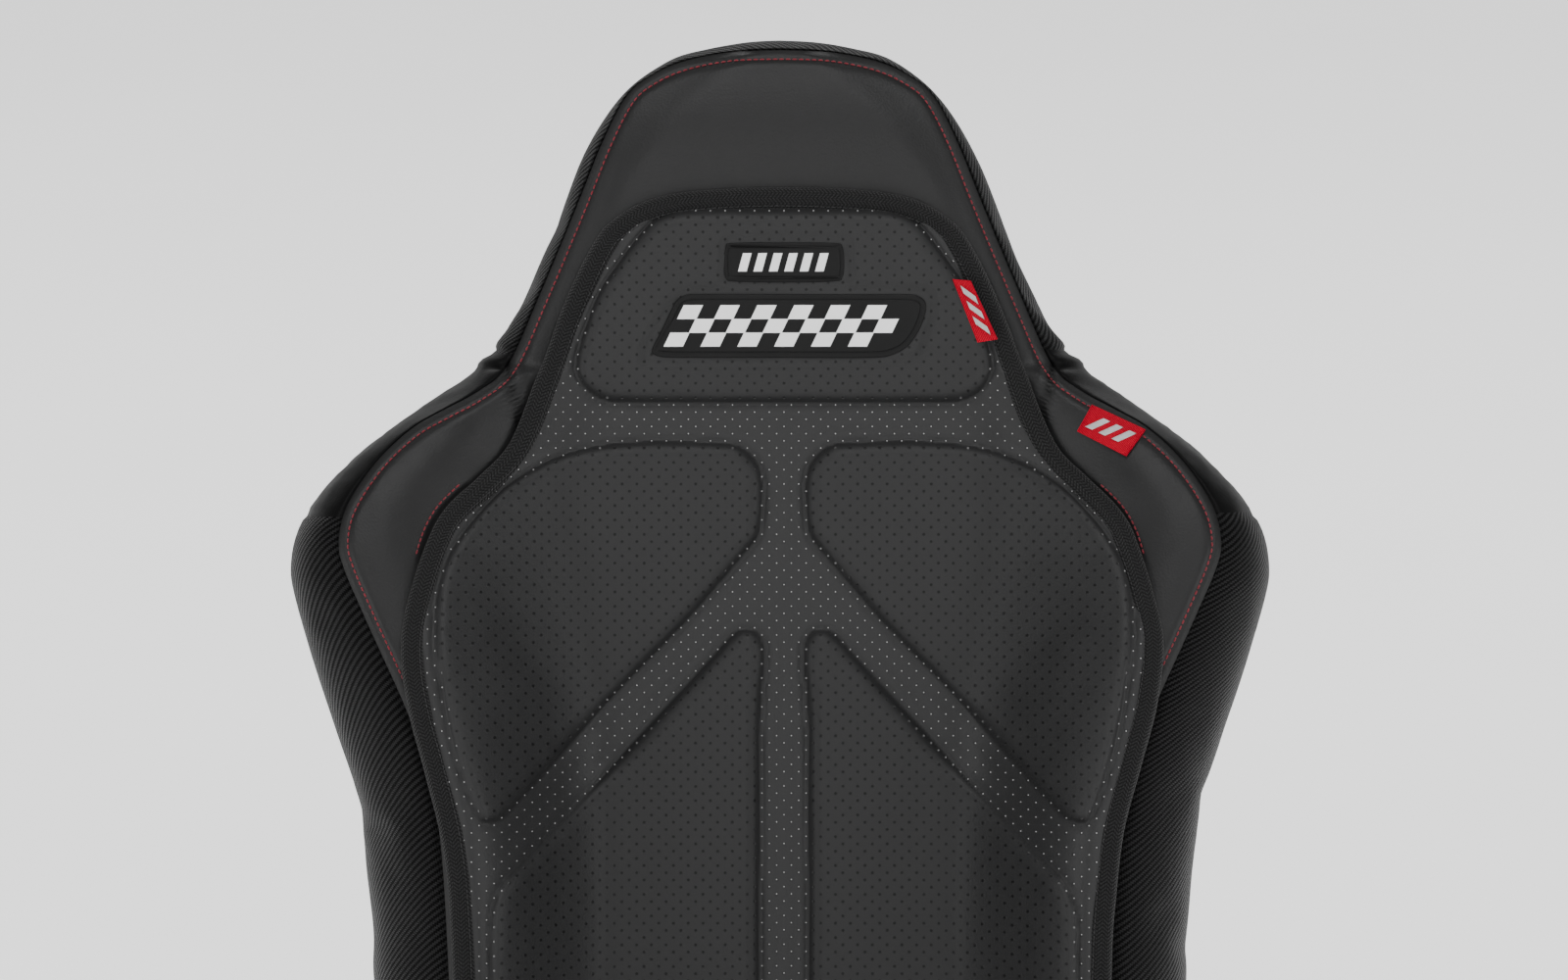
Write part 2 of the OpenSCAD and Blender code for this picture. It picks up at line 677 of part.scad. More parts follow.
// Side of the cushion from the crease (a = 0) to the widest line (a = 90)
function cushion_band_point(y, a) =
    let(xs = lookup(y, cushion_side), xc = lookup(y, cushion_crease), top = lookup(y, cushion_crest),
        mid = top - 52)
        [xc + (xs - xc) * sin(a), y, mid + (top - mid) * cos(a)];

cushion_stations = [-330, -327, -322, -314, -302, -285, -255, -210, -150, -90, -30, 30, 75, 104, 116, 128];

module cushion_foam() {
    gap = cover_t + 1.2;
    first = cushion_front_y + 4;
    last = cushion_rear_y - 2;
    stations = [
        for (y = cushion_stations)
            first + (y - cushion_front_y) * (last - first) / (cushion_rear_y - cushion_front_y)
    ];
    function half_ring(y) = concat(
        [for (k = [0 : 8]) let(x = k / 8 * (lookup(y, cushion_crease) - gap)) [x, y, top_height(x,
        y) - gap - 3.5]],
        [for (a = [30, 60, 90]) let(p = cushion_band_point(y, a)) [p.x - gap, y, p.z - gap * cos(a) - 1.5]],
        [
            [lookup(y, cushion_side) - gap - 3, y, cushion_under_z + 8],
            [lookup(y, cushion_side) - gap - 12, y, cushion_under_z], [0, y, cushion_under_z]
        ]
    );
    function ring(y) =
        let(half = half_ring(y), n = len(half)) concat(
            half,
            [for (i = [n - 2 : -1 : 1]) [-half[i].x, y, half[i].z]]
        );
    color(foam_grey) loft([for (y = stations) ring(y)]);
}

module cushion_top_cover() {
    outer = [
        for (y = cushion_stations) [
            for (k = [-8 : 8]) let(x = k / 8 * lookup(y, cushion_crease)) [x, y, top_height(x, y)]
        ]
    ];
    color(leather) thick_patch(outer, shifted(outer, -cover_t));
}

// Band round the right side, the nose and the left side
module cushion_side_band() {
    skirt_z = 52;
    angles = [6, 30, 60, 90];
    function row(y, side) = concat(
        [for (a = angles) let(p = cushion_band_point(y, a)) [side * p.x, y, p.z]],
        [for (z = [(lookup(y, cushion_crest) + 30) / 2, 80, skirt_z]) [side * (lookup(y,
        cushion_side) - 2), y, z]]
    );
    function nose_row(x) =
        let(start = row(cushion_front_y, LEFT), top = top_height(x, cushion_front_y)) [
            for (i = [0 : len(start) - 1])
                let(t = i / (len(start) - 1))
                    [x, cushion_front_y - 2.5 - 2.5 * sin(180 * t), top - (top - skirt_z) * t]
        ];
    body = [for (i = [len(cushion_stations) - 4 : -1 : 1]) cushion_stations[i]];
    outer = concat(
        [for (y = body) row(y, RIGHT)],
        [for (x = [-188, -150, -90, -30, 30, 90, 150, 188]) nose_row(x)],
        [for (i = [len(body) - 1 : -1 : 0]) row(body[i], LEFT)]
    );
    color(carbon_vinyl) thick_patch(shifted(outer, cover_t), outer);
}

// ---------------------------------------------------------------- vibrating pad

// Right edge of the back half as [height above the hinge, half width]
pad_back_edge = spline([
    [702, 0], [701, 40], [698, 62], [692, 82], [683, 98], [672, 108], [653, 118], [630, 129], [609, 139],
    [590, 146],
    [570, 152], [550, 162], [530, 180], [510, 200], [490, 211], [470, 219], [450, 223], [430, 225], [410,
    224],
    [390, 221], [350, 210], [330, 204], [300, 199], [260, 196], [200, 196], [120, 196], [96, 188], [90, 170]
], 3);
pad_back_heights = [91, 96, 110, 150, 190, 240, 290, 330, 370, 410, 450, 490, 510, 530, 550, 570, 600,
    640, 670,
    688, 697, 701];
function pad_swell(q) = 1 - pow(min(abs(q), 1), 6);
function pad_back_grid(low, high, trim) = [
    for (z = pad_back_heights) [
        for (k = [-8 : 8])
            let(
                x = k / 8 * (max(lookup(z, pad_back_edge), 20) - trim),
                end = smooth(min(z - 90, 702 - z) / 24)
            ) [x, -front_depth(x, z) - low - (high - low) * pad_swell(k / 8) * end, z]
    ]
];

function thinned(g) = [for (i = [0 : len(g) - 1]) if (i % 2 == 0 || i == len(g) - 1) g[i]];
module pad_back_lining() {
    color(webbing_black) on_backrest()
        thick_patch(thinned(pad_back_grid(4, 4, 3)), thinned(pad_back_grid(2.4, 2.4, 3)));
}
module pad_back_cover() {
    color(leather) on_backrest()
        thick_patch(pad_back_grid(7.5, pad_t, 3), pad_back_grid(5.7, pad_t - 2, 3));
}
// Webbing edge: a thin wall round the rim of the back half
module pad_back_binding() {
    rim = [for (z = [for (h = pad_back_heights) if (h > 105) h])
        [max(lookup(z, pad_back_edge), 24), z]];
    loop = concat(
        [for (p = rim) [-p.x, p.y]], [for (i = [len(rim) - 1 : -1 : 0]) rim[i]],
        [[180, 92], [90, 89], [0, 89], [-90, 89], [-180, 92]]
    );
    inner = inset([for (i = [len(loop) - 1 : -1 : 0]) loop[i]], 0.01);
    n = len(inner);
    function wall(d) = inset(inner, d);
    function place(p, f) = [p.x, -front_depth(p.x, min(p.y, 783)) - f, p.y];
    outer_path = wall(-0.2);
    inner_path = wall(2);
    rings = [for (i = [0 : n - 1]) [
        place(outer_path[i], 2), place(outer_path[i], 7), place(inner_path[i], 7), place(inner_path[i], 2)
    ]];
    faces = [for (i = [0 : n - 1], j = [0 : 3])
        let(a = i * 4 + j, b = i * 4 + (j + 1) % 4, c = ((i + 1) % n) * 4 + j,
            d = ((i + 1) % n) * 4 + (j + 1) % 4)
            each [[a, d, b], [a, c, d]]];
    color(webbing_black) on_backrest() polyhedron([for (r = rings, p = r) p], faces, convexity = 8);
}

// Rows across a foam panel as [height, inner edge, outer edge]
head_rows = [[575, -98, 98], [584, -117, 117], [600, -123, 123], [620, -117, 117], [645, -105, 105],
    [668, -90, 90],
    [682, -77, 77], [688, -60, 60]];
shoulder_rows = [[329, 166, 180], [345, 150, 189], [370, 130, 195], [400, 81, 202], [430, 51, 206], [455,
    32, 207],
    [485, 20, 199], [510, 15, 180], [530, 15, 153], [542, 24, 130], [549, 42, 98]];
lumbar_rows = [[122, 30, 158], [132, 17, 168], [180, 16, 172], [240, 16, 173], [275, 16, 171], [295, 16, 158],
    [330, 16, 126], [370, 16, 89], [400, 16, 60], [425, 15, 40], [437, 21, 30]];
hip_rows = [[-54, 118, 132], [-38, 72, 148], [-8, 20, 156], [30, 15, 158], [66, 17, 156], [80, 22, 146],
    [87, 46, 118]];
thigh_rows = [[-268, 34, 128], [-258, 20, 150], [-215, 14, 164], [-160, 13, 164], [-112, 14, 156], [-96,
    16, 128],
    [-74, 17, 74], [-52, 19, 26]];

// Foam block between two heights over the backrest, f0 to f1 ahead of its cover
module back_foam(rows, f0, f1) {
    function face(f) = [for (r = rows) [
        for (k = [0 : 5]) let(x = r[1] + k / 5 * (r[2] - r[1])) [x, -front_depth(x, r[0]) - f, r[0]]]];
    thick_patch(face(f1), face(f0));
}
module seat_foam(rows, f0, f1) {
    function face(f) = [for (r = rows) [
        for (k = [0 : 5]) let(x = r[1] + k / 5 * (r[2] - r[1])) [x, r[0], top_height(x, r[0]) + f]]];
    thick_patch(face(f1), face(f0));
}
module both_sides() {
    children();
    mirror([1, 0, 0]) children();
}
module pad_head_foam() {
    color(foam_grey) on_backrest() back_foam(head_rows, 6, 11);
}
module pad_shoulder_foams() {
    color(foam_grey) on_backrest() both_sides() back_foam(shoulder_rows, 6, 11);
}
module pad_lumbar_foams() {
    color(foam_grey) on_backrest() both_sides() back_foam(lumbar_rows, 6, 13);
}
module pad_hip_foams() {
    color(foam_grey) both_sides() seat_foam(hip_rows, 6, 13);
}
module pad_thigh_foams() {
    color(foam_grey) both_sides() seat_foam(thigh_rows, 6, 13);
}

function depth_slope(p) = (front_depth(p.x, p.y + 20) - front_depth(p.x, p.y - 20)) / 40;
// Children at a point on the backrest's front face, with Z along the way out of it
module at_back(p, lift) {
    translate([p.x, -front_depth(p.x, p.y) - lift, p.y]) rotate([90 + atan(depth_slope(p)), 0, 0]) children();
}

pad_seat_edge = spline([
    [-318, 150], [-314, 178], [-300, 192], [-270, 199], [-200, 204], [-100, 204], [0, 200], [70, 192],
    [104, 184]
], 3);
pad_seat_stations = [-317, -313, -304, -285, -250, -200, -140, -80, -20, 40, 80, 104];
function pad_seat_grid(low, high, trim) = [
    for (y = pad_seat_stations) [
        for (k = [-8 : 8])
            let(
                x = k / 8 * (lookup(y, pad_seat_edge) - trim),
                end = smooth(min(y + 318, 106 - y) / 24)
            ) [x, y, top_height(x, y) + low + (high - low) * pad_swell(k / 8) * end]
    ]
];
module pad_seat_lining() {
    color(webbing_black) thick_patch(thinned(pad_seat_grid(4, 4, 3)), thinned(pad_seat_grid(2.4, 2.4, 3)));
}
module pad_seat_cover() {
    color(leather) thick_patch(pad_seat_grid(7.5, pad_t, 3), pad_seat_grid(5.7, pad_t - 2, 3));
}
module pad_seat_binding() {
    for (side = SIDES) {
        grid = [for (y = pad_seat_stations) [
            for (d = [0, 2.2])
                let(x = side * (lookup(y, pad_seat_edge) - 2.4 + (side > 0 ? d : 2.2 - d)))
                    [x, y, top_height(x, y) + 7]
        ]];
        lower = [for (row = grid) [for (p = row) p - [0, 0, 4.2]]];
        color(webbing_black) thick_patch(grid, lower);
    }
}
// Fabric tongue that joins the pad's two halves in the fold of the seat
module pad_hinge_strip() {
    color(webbing_black) translate([-110, 105.2, top_height(0, 106) + 1.5]) cube([220, 18, 3]);
}

// Moulded rubber badges and woven labels, all without marks
module badge_large() {
    outline = closed_spline([
        [-79, -17], [-60, 17], [-40, 19], [66, 18], [84, 14], [82, 2], [70, -16], [52, -20], [-40, -20]
    ], 3);
    color(rubber_black) on_backrest() at_back([0, 620], pad_t + 0.4)
        linear_extrude(height = 2.6) polygon(outline);
}
module badge_small() {
    outline = closed_spline([
        [-34, -10], [-30, 11], [0, 12], [30, 11], [34, -10], [28, -12], [0, -12.5], [-28, -12]
    ], 3);
    color(rubber_black) on_backrest() at_back([0, 658], pad_t + 0.4)
        linear_extrude(height = 2.6) polygon(outline);
}
module pad_label() {
    color(label_red) on_backrest()
        translate([116, -front_depth(116, 628) - 15, 628]) rotate([0, 24, 0]) cube([13, 1.2, 35],
            center = true);
}
module wing_label() {
    color(label_red) on_backrest()
        translate([197, -front_depth(197, 558) - 7, 558]) rotate([0, 35, 34]) cube([32, 1.2, 20],
            center = true);
}

// ---------------------------------------------------------------- nodes

floor_rail(LEFT);  // floor_rail_left
floor_rail(RIGHT);  // floor_rail_right
ball_cages();
rail_balls();
rail_rollers();
seat_rail(LEFT);  // seat_rail_left
seat_rail(RIGHT);  // seat_rail_right
rail_bolts();
side_frame(LEFT);  // side_frame_left
side_frame(RIGHT);  // side_frame_right
cushion_cross_tubes();
cushion_webbing();
cushion_foam();
cushion_top_cover();
cushion_side_band();
hinge_bolts();
pawl_pins();
recline_springs();
hinge_cover(LEFT);  // hinge_cover_left
hinge_cover(RIGHT);  // hinge_cover_right
hinge_cover_screws();
pad_seat_lining();
pad_seat_cover();
pad_seat_binding();
pad_hinge_strip();
backrest_frame();
hinge_arm(LEFT);  // hinge_arm_left
hinge_arm(RIGHT);  // hinge_arm_right
hinge_arm_bolts();
backrest_webbing();
backrest_foam();
backrest_front_cover();
backrest_side_band();
backrest_rear_cover();
pad_back_lining();
pad_back_cover();
pad_back_binding();
badge_large();
badge_small();
lever_rod();
recline_lever(LEFT);  // recline_lever_left
recline_lever(RIGHT);  // recline_lever_right
lever_grips();
pawl(LEFT);  // pawl_left
pawl(RIGHT);  // pawl_right
slide_handle();
slide_handle_grip();
slide_latches();
pad_head_foam();
pad_shoulder_foams();
pad_lumbar_foams();
pad_hip_foams();
pad_thigh_foams();
pad_label();
wing_label();
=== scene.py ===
"""Looks of a reclining racing seat: sewn leather covers, a quilted pad, badges, labels, rails and levers.

Backrest shapes are written in the backrest's own millimetres: u across (+ to the sitter's left), v up from
the hinge and w out of its front. Cushion shapes use the row frame's millimetres.
"""
import json
import math

import bmesh
import bpy
import numpy as np
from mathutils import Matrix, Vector, noise


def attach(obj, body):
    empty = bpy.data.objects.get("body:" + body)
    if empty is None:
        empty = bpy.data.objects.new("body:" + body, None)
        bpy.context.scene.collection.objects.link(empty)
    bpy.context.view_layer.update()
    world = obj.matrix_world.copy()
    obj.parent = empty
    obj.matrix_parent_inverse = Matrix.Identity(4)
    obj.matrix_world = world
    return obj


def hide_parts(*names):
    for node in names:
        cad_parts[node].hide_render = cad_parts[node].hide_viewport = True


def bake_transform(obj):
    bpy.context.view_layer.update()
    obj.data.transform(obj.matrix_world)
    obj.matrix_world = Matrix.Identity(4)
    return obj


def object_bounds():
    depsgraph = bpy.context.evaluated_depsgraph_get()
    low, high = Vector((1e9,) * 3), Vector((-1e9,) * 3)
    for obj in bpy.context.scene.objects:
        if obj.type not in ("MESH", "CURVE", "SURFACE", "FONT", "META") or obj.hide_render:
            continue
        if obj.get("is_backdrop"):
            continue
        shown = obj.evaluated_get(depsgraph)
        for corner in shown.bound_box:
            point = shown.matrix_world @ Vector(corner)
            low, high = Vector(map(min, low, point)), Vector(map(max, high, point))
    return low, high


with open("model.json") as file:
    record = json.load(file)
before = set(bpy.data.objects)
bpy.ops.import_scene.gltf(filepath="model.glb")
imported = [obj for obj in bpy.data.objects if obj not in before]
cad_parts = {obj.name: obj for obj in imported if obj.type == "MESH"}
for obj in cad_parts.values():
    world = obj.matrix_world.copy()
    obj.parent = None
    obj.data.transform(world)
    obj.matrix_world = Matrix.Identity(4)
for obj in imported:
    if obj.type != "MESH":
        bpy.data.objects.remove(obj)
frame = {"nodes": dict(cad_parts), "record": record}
cad_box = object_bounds()

HINGE_Y, HINGE_Z = 200.0, 150.0
LEAN = math.radians(18)
SIN, COS = math.sin(LEAN), math.cos(LEAN)
PAD_SHIFT = 2.4  # the pad lies a little to the sitter's left
FOOT_V = 30.0  # lower end of the backrest's covers
REAR_SEAM_U, REAR_CROSS_V = 92.0, 590.0  # the rear cover's seams
REAR_SEAM_TOP = 640.0
REAR_CORNER = 14.0  # radius where the side band turns on to the rear
COVER_STITCH = 5.5  # from the crease in to the red topstitch


# ------------------------------------------------------------------ curves
def spline(points, steps=8, closed=False):
    """Catmull-Rom line through the points."""
    p = np.array(points, float)
    n = len(p)
    spans = n if closed else n - 1
    t = np.arange(steps) / steps
    out = []
    for i in range(spans):
        if closed:
            a, b, c, d = p[(i - 1) % n], p[i], p[(i + 1) % n], p[(i + 2) % n]
        else:
            a, b, c, d = p[max(i - 1, 0)], p[i], p[i + 1], p[min(i + 2, n - 1)]
        for k in t:
            out.append(0.5 * (2 * b + (c - a) * k + (2 * a - 5 * b + 4 * c - d) * k * k
                              + (3 * b - a - 3 * c + d) * k ** 3))
    if not closed:
        out.append(p[-1])
    return np.array(out)


def track(points, steps=8):
    """Spline sorted along its first coordinate, for looking the second one up."""
    line = spline(points, steps)
    return line[np.argsort(line[:, 0], kind="stable")]


def at(line, x):
    return np.interp(x, line[:, 0], line[:, 1])


def smooth(t):
    t = np.clip(t, 0, 1)
    return t * t * (3 - 2 * t)


def bell(x, width):
    return np.exp(-(x / width) ** 2)


def together(*values):
    """Values of matching or repeating shapes, side by side along a new last axis."""
    return np.stack(np.broadcast_arrays(*values), -1)


def unit(v):
    """Vectors along the last axis, brought to length 1."""
    return v / np.maximum(np.linalg.norm(v, axis=-1, keepdims=True), 1e-9)


def left_of(t):
    return np.stack([-t[:, 1], t[:, 0]], 1)


def inward_of(outline):
    """Unit directions into a closed outline that runs counter-clockwise."""
    return left_of(unit(np.roll(outline, -1, 0) - np.roll(outline, 1, 0)))


def twice_area(outline):
    """Positive when the outline runs counter-clockwise."""
    after = np.roll(outline, -1, 0)
    return np.sum(outline[:, 0] * after[:, 1] - after[:, 0] * outline[:, 1])


def line_length(p):
    """Length run so far at each point."""
    return np.concatenate([[0], np.cumsum(np.linalg.norm(np.diff(p, axis=0), axis=1))])


def resample(p, pitch=None, count=None):
    s = line_length(p)
    n = count or max(int(round(s[-1] / pitch)) + 1, 2)
    t = np.linspace(0, s[-1], n)
    return np.stack([np.interp(t, s, p[:, k]) for k in range(p.shape[1])], 1)


def to_line(points, line, closed=False):
    """Distance of every point from a polyline."""
    points = np.asarray(points, float)
    shape = points.shape[:-1]
    pts = points.reshape(-1, 2)
    a = line
    b = np.roll(line, -1, axis=0)
    if not closed:
        a, b = a[:-1], b[:-1]
    ab = b - a
    size = np.maximum((ab ** 2).sum(1), 1e-9)
    best = np.full(len(pts), 1e9)
    for k in range(0, len(pts), 20000):
        q = pts[k:k + 20000]
        t = np.clip(((q[:, None, :] - a) * ab).sum(2) / size, 0, 1)
        gap = q[:, None, :] - a - t[..., None] * ab
        best[k:k + 20000] = np.sqrt((gap ** 2).sum(2).min(1))
    return best.reshape(shape)


def inside(points, poly):
    points = np.asarray(points, float)
    x, y = points[..., 0], points[..., 1]
    hit = np.zeros(x.shape, bool)
    for a, b in zip(poly, np.roll(poly, -1, axis=0)):
        if a[1] == b[1]:
            continue
        crosses = (a[1] > y) != (b[1] > y)
        hit ^= crosses & (x < (b[0] - a[0]) * (y - a[1]) / (b[1] - a[1]) + a[0])
    return hit


def depth_inside(points, poly):
    """Distance in from a closed outline, negative outside."""
    d = to_line(points, poly, closed=True)
    return np.where(inside(points, poly), d, -d)


def ripple(p, scale, seed=0.0):
    """Smooth noise, about -1 to 1, at points in millimetres."""
    flat = np.asarray(p, float).reshape(-1, 3) / scale
    out = np.array([noise.noise(Vector((x + seed, y - seed, z + 0.7 * seed))) for x, y, z in flat])
    return out.reshape(np.asarray(p).shape[:-1])


# ------------------------------------------------------------------ meshes
def mesh_object(name, verts, faces, materials, face_slots=None, uv=None, smooth_shade=True):
    mesh = bpy.data.meshes.new(name)
    mesh.from_pydata([tuple(v) for v in verts], [], [tuple(f) for f in faces])
    for m in materials:
        mesh.materials.append(m)
    if face_slots is not None:
        mesh.polygons.foreach_set("material_index", np.asarray(face_slots, np.int32))
    if uv is not None:
        layer = mesh.uv_layers.new(name="UVMap")
        loops = np.zeros(len(mesh.loops), np.int32)
        mesh.loops.foreach_get("vertex_index", loops)
        layer.data.foreach_set("uv", np.asarray(uv, np.float32)[loops].ravel())
    mesh.polygons.foreach_set("use_smooth", [smooth_shade] * len(mesh.polygons))
    mesh.validate()
    mesh.update()
    obj = bpy.data.objects.new(name, mesh)
    bpy.context.scene.collection.objects.link(obj)
    return obj


def grid_faces(ni, nj, loop_j=False, flip=False):
    """Four-cornered faces of a grid, closed on itself along its second way where loop_j says so."""
    i = np.arange(ni - 1)[:, None]
    j = np.arange(nj if loop_j else nj - 1)
    a = (i * nj + j).ravel()
    b = (i * nj + (j + 1) % nj).ravel()
    c = ((i + 1) * nj + (j + 1) % nj).ravel()
    d = ((i + 1) * nj + j).ravel()
    f = np.stack([a, b, c, d], 1)
    return f[:, ::-1] if flip else f


def grid_object(name, points, materials, uv, flip=False, face_slots=None, loop_j=False, marks=None):
    """A sheet from a grid of points in metres, with uv in millimetres and optional named point values."""
    ni, nj = points.shape[:2]
    faces = grid_faces(ni, nj, loop_j=loop_j, flip=flip)
    slots = None
    if face_slots is not None:
        slots = face_slots[:ni - 1, :(nj if loop_j else nj - 1)].ravel()
    obj = mesh_object(name, points.reshape(-1, 3), faces, materials, slots, uv.reshape(-1, 2) * 0.001)
    for key, values in (marks or {}).items():
        mark = obj.data.attributes.new(key, "FLOAT", "POINT")
        mark.data.foreach_set("value", values.ravel().astype(np.float32))
    return obj


def weld(obj):
    """Joins points that lie on one another, within 0.05 mm."""
    bm = bmesh.new()
    bm.from_mesh(obj.data)
    bmesh.ops.remove_doubles(bm, verts=bm.verts, dist=0.00005)
    bm.to_mesh(obj.data)
    bm.free()
    return obj


def back(u, v, w):
    """Backrest millimetres to row metres."""
    u, v, w = np.broadcast_arrays(np.asarray(u, float), v, w)
    return np.stack([u, HINGE_Y + v * SIN - w * COS, HINGE_Z + v * COS + w * SIN], -1) * 0.001


def tube(name, path, radius, material, up):
    """Round cord along a path in metres; up is any way that the path never runs."""
    p = np.asarray(path, float)
    n, sides = len(p), 10
    t = unit(np.gradient(p, axis=0))
    s = unit(np.cross(t, np.broadcast_to(np.asarray(up, float), p.shape)))
    m = np.cross(s, t)
    a = np.linspace(0, 2 * math.pi, sides, endpoint=False)
    cosine, sine = np.cos(a)[None, :, None], np.sin(a)[None, :, None]
    ring = radius * (cosine * s[:, None, :] + sine * m[:, None, :])
    verts = (p[:, None, :] + ring).reshape(-1, 3)
    faces = [tuple(f) for f in grid_faces(n, sides, loop_j=True, flip=True)]
    faces += [tuple(range(sides)), tuple((n - 1) * sides + k for k in range(sides))[::-1]]
    length = line_length(p) * 1000
    uv = together(length[:, None], a[None, :] * radius * 1000).reshape(-1, 2) * 0.001
    return mesh_object(name, verts, faces, [material], None, uv)


def stitches(name, path, normal, material, pitch=3.9, long=2.9, thick=0.52):
    """Row of thread stitches along a path in metres; normal gives the way out of the cloth at each point."""
    path, normal = np.asarray(path, float), np.asarray(normal, float)
    s = line_length(path) * 1000
    centre = np.arange(pitch * 0.6, s[-1] - pitch * 0.4, pitch)
    sides, rows = 6, 5
    a = np.linspace(0, 2 * math.pi, sides, endpoint=False)
    q = np.linspace(-1, 1, rows)
    width = thick * np.sqrt(np.maximum(1 - np.abs(q) ** 3 * 0.8, 0.05))
    arch = 0.30 * (1 - q * q) - 0.12
    cosine, sine = np.cos(a)[None, :, None], np.sin(a)[None, :, None]
    verts, faces, uv = [], [], []
    shape = grid_faces(rows, sides, loop_j=True, flip=True)
    for c in centre:
        p = np.array([np.interp(c, s, path[:, m]) for m in range(3)])
        b = np.array([np.interp(min(c + 1, s[-1]), s, path[:, m]) for m in range(3)])
        up = np.array([np.interp(c, s, normal[:, m]) for m in range(3)])
        t = unit(b - p)
        up = unit(up - t * up.dot(t))
        side = np.cross(t, up)
        base = len(verts) * sides * rows
        ring = (p + 0.001 * (q[:, None, None] * long / 2 * t
                + width[:, None, None] * (cosine * side + sine * up)
                + arch[:, None, None] * up))
        verts.append(ring.reshape(-1, 3))
        faces.append(shape + base)
        faces_end = np.array([[base + m for m in (0, 1, 2, 3)], [base + m for m in (0, 3, 4, 5)]])
        faces.append(faces_end)
        faces.append(faces_end[:, ::-1] + (rows - 1) * sides)
        uv.append(together(c + q[:, None] * long / 2, a[None, :]).reshape(-1, 2))
    uv = np.concatenate(uv) * 0.001
    return mesh_object(name, np.concatenate(verts), np.concatenate(faces), [material], None, uv)


def plate(name, outline, low, high, to_row, materials, bevel=0.5, steps=2, mirror=False):
    """Flat moulded piece with a rounded top edge. to_row turns (a, b, height) into metres."""
    outline = np.asarray(outline, float)
    if twice_area(outline) < 0:
        outline = outline[::-1]
    inward = inward_of(outline)
    turn = np.linspace(0, math.pi / 2, steps + 1)
    levels = [(0, low)] + [(bevel * (1 - math.cos(t)), high - bevel * (1 - math.sin(t))) for t in turn]
    verts, uv = [], []
    for inset, w in levels:
        ring = outline + inward * inset
        verts.append(to_row(ring[:, 0], ring[:, 1], w))
        uv.append(ring)
    n = len(outline)
    faces = [tuple(f) for f in grid_faces(len(levels), n, loop_j=True)]
    faces.append(tuple(range((len(levels) - 1) * n, len(levels) * n)))
    if mirror:
        faces = [f[::-1] for f in faces]
    uv = np.concatenate(uv) * 0.001
    return mesh_object(name, np.concatenate(verts), faces, materials, None, uv, steps > 2)


def between(values, rows, columns, shape):
    """Grid values at chosen rows and columns, filled in to the whole grid."""
    i, j = np.arange(shape[0]), np.arange(shape[1])
    wide = np.stack([np.stack([np.interp(j, columns, r[:, k]) for k in range(3)], -1) for r in values])
    flat = wide.reshape(len(rows), -1)
    full = np.stack([np.interp(i, rows, flat[:, k]) for k in range(flat.shape[1])], 1)
    return full.reshape(shape[0], shape[1], 3)


FOAM_PRESSURE = 4.0
CLOTH_FRAMES = 20


def inflated(points, hold, every, cap, slack=0.0, flip=False, even=2):
    """Cloth simulation of a sewn cover: foam presses it out wherever hold is 0.

    Every so many rows and columns take part. cap is in metres, and even counts the rounds of evening out.
    """
    ni, nj = points.shape[:2]
    rows = np.unique(np.append(np.arange(0, ni, every[0]), ni - 1))
    columns = np.unique(np.append(np.arange(0, nj, every[1]), nj - 1))
    coarse = points[np.ix_(rows, columns)]
    faces = grid_faces(len(rows), len(columns), flip=flip)
    obj = mesh_object("cloth_trial", coarse.reshape(-1, 3), faces, [])
    group = obj.vertex_groups.new(name="sewn")
    weights = np.clip(hold[np.ix_(rows, columns)], 0, 1).ravel()
    for k, w in enumerate(weights):
        group.add([k], float(w), "REPLACE")
    cloth_mod = obj.modifiers.new("cloth", "CLOTH")
    cloth_mod.point_cache.frame_start, cloth_mod.point_cache.frame_end = 1, CLOTH_FRAMES
    setup = cloth_mod.settings
    setup.vertex_group_mass = "sewn"
    setup.use_pressure = True
    setup.uniform_pressure_force = FOAM_PRESSURE
    setup.effector_weights.gravity = 0
    setup.shrink_min = -slack
    setup.quality = 5
    for f in range(1, CLOTH_FRAMES + 1):
        bpy.context.scene.frame_set(f)
    result = obj.evaluated_get(bpy.context.evaluated_depsgraph_get()).data
    co = np.zeros(len(result.vertices) * 3, np.float32)
    result.vertices.foreach_get("co", co)
    move = co.reshape(coarse.shape).astype(float) - coarse
    size = np.linalg.norm(move, axis=2, keepdims=True)
    move = move * np.tanh(size / cap) * cap / np.maximum(size, 1e-9)
    for _ in range(even):
        near = np.pad(move, ((1, 1), (1, 1), (0, 0)), mode="edge")
        move = (near[:-2, 1:-1] + near[2:, 1:-1] + near[1:-1, :-2] + near[1:-1, 2:] + 2 * move) / 6
    mesh = obj.data
    bpy.data.objects.remove(obj)
    bpy.data.meshes.remove(mesh)
    bpy.context.scene.frame_set(1)
    return points + between(move, rows, columns, (ni, nj))


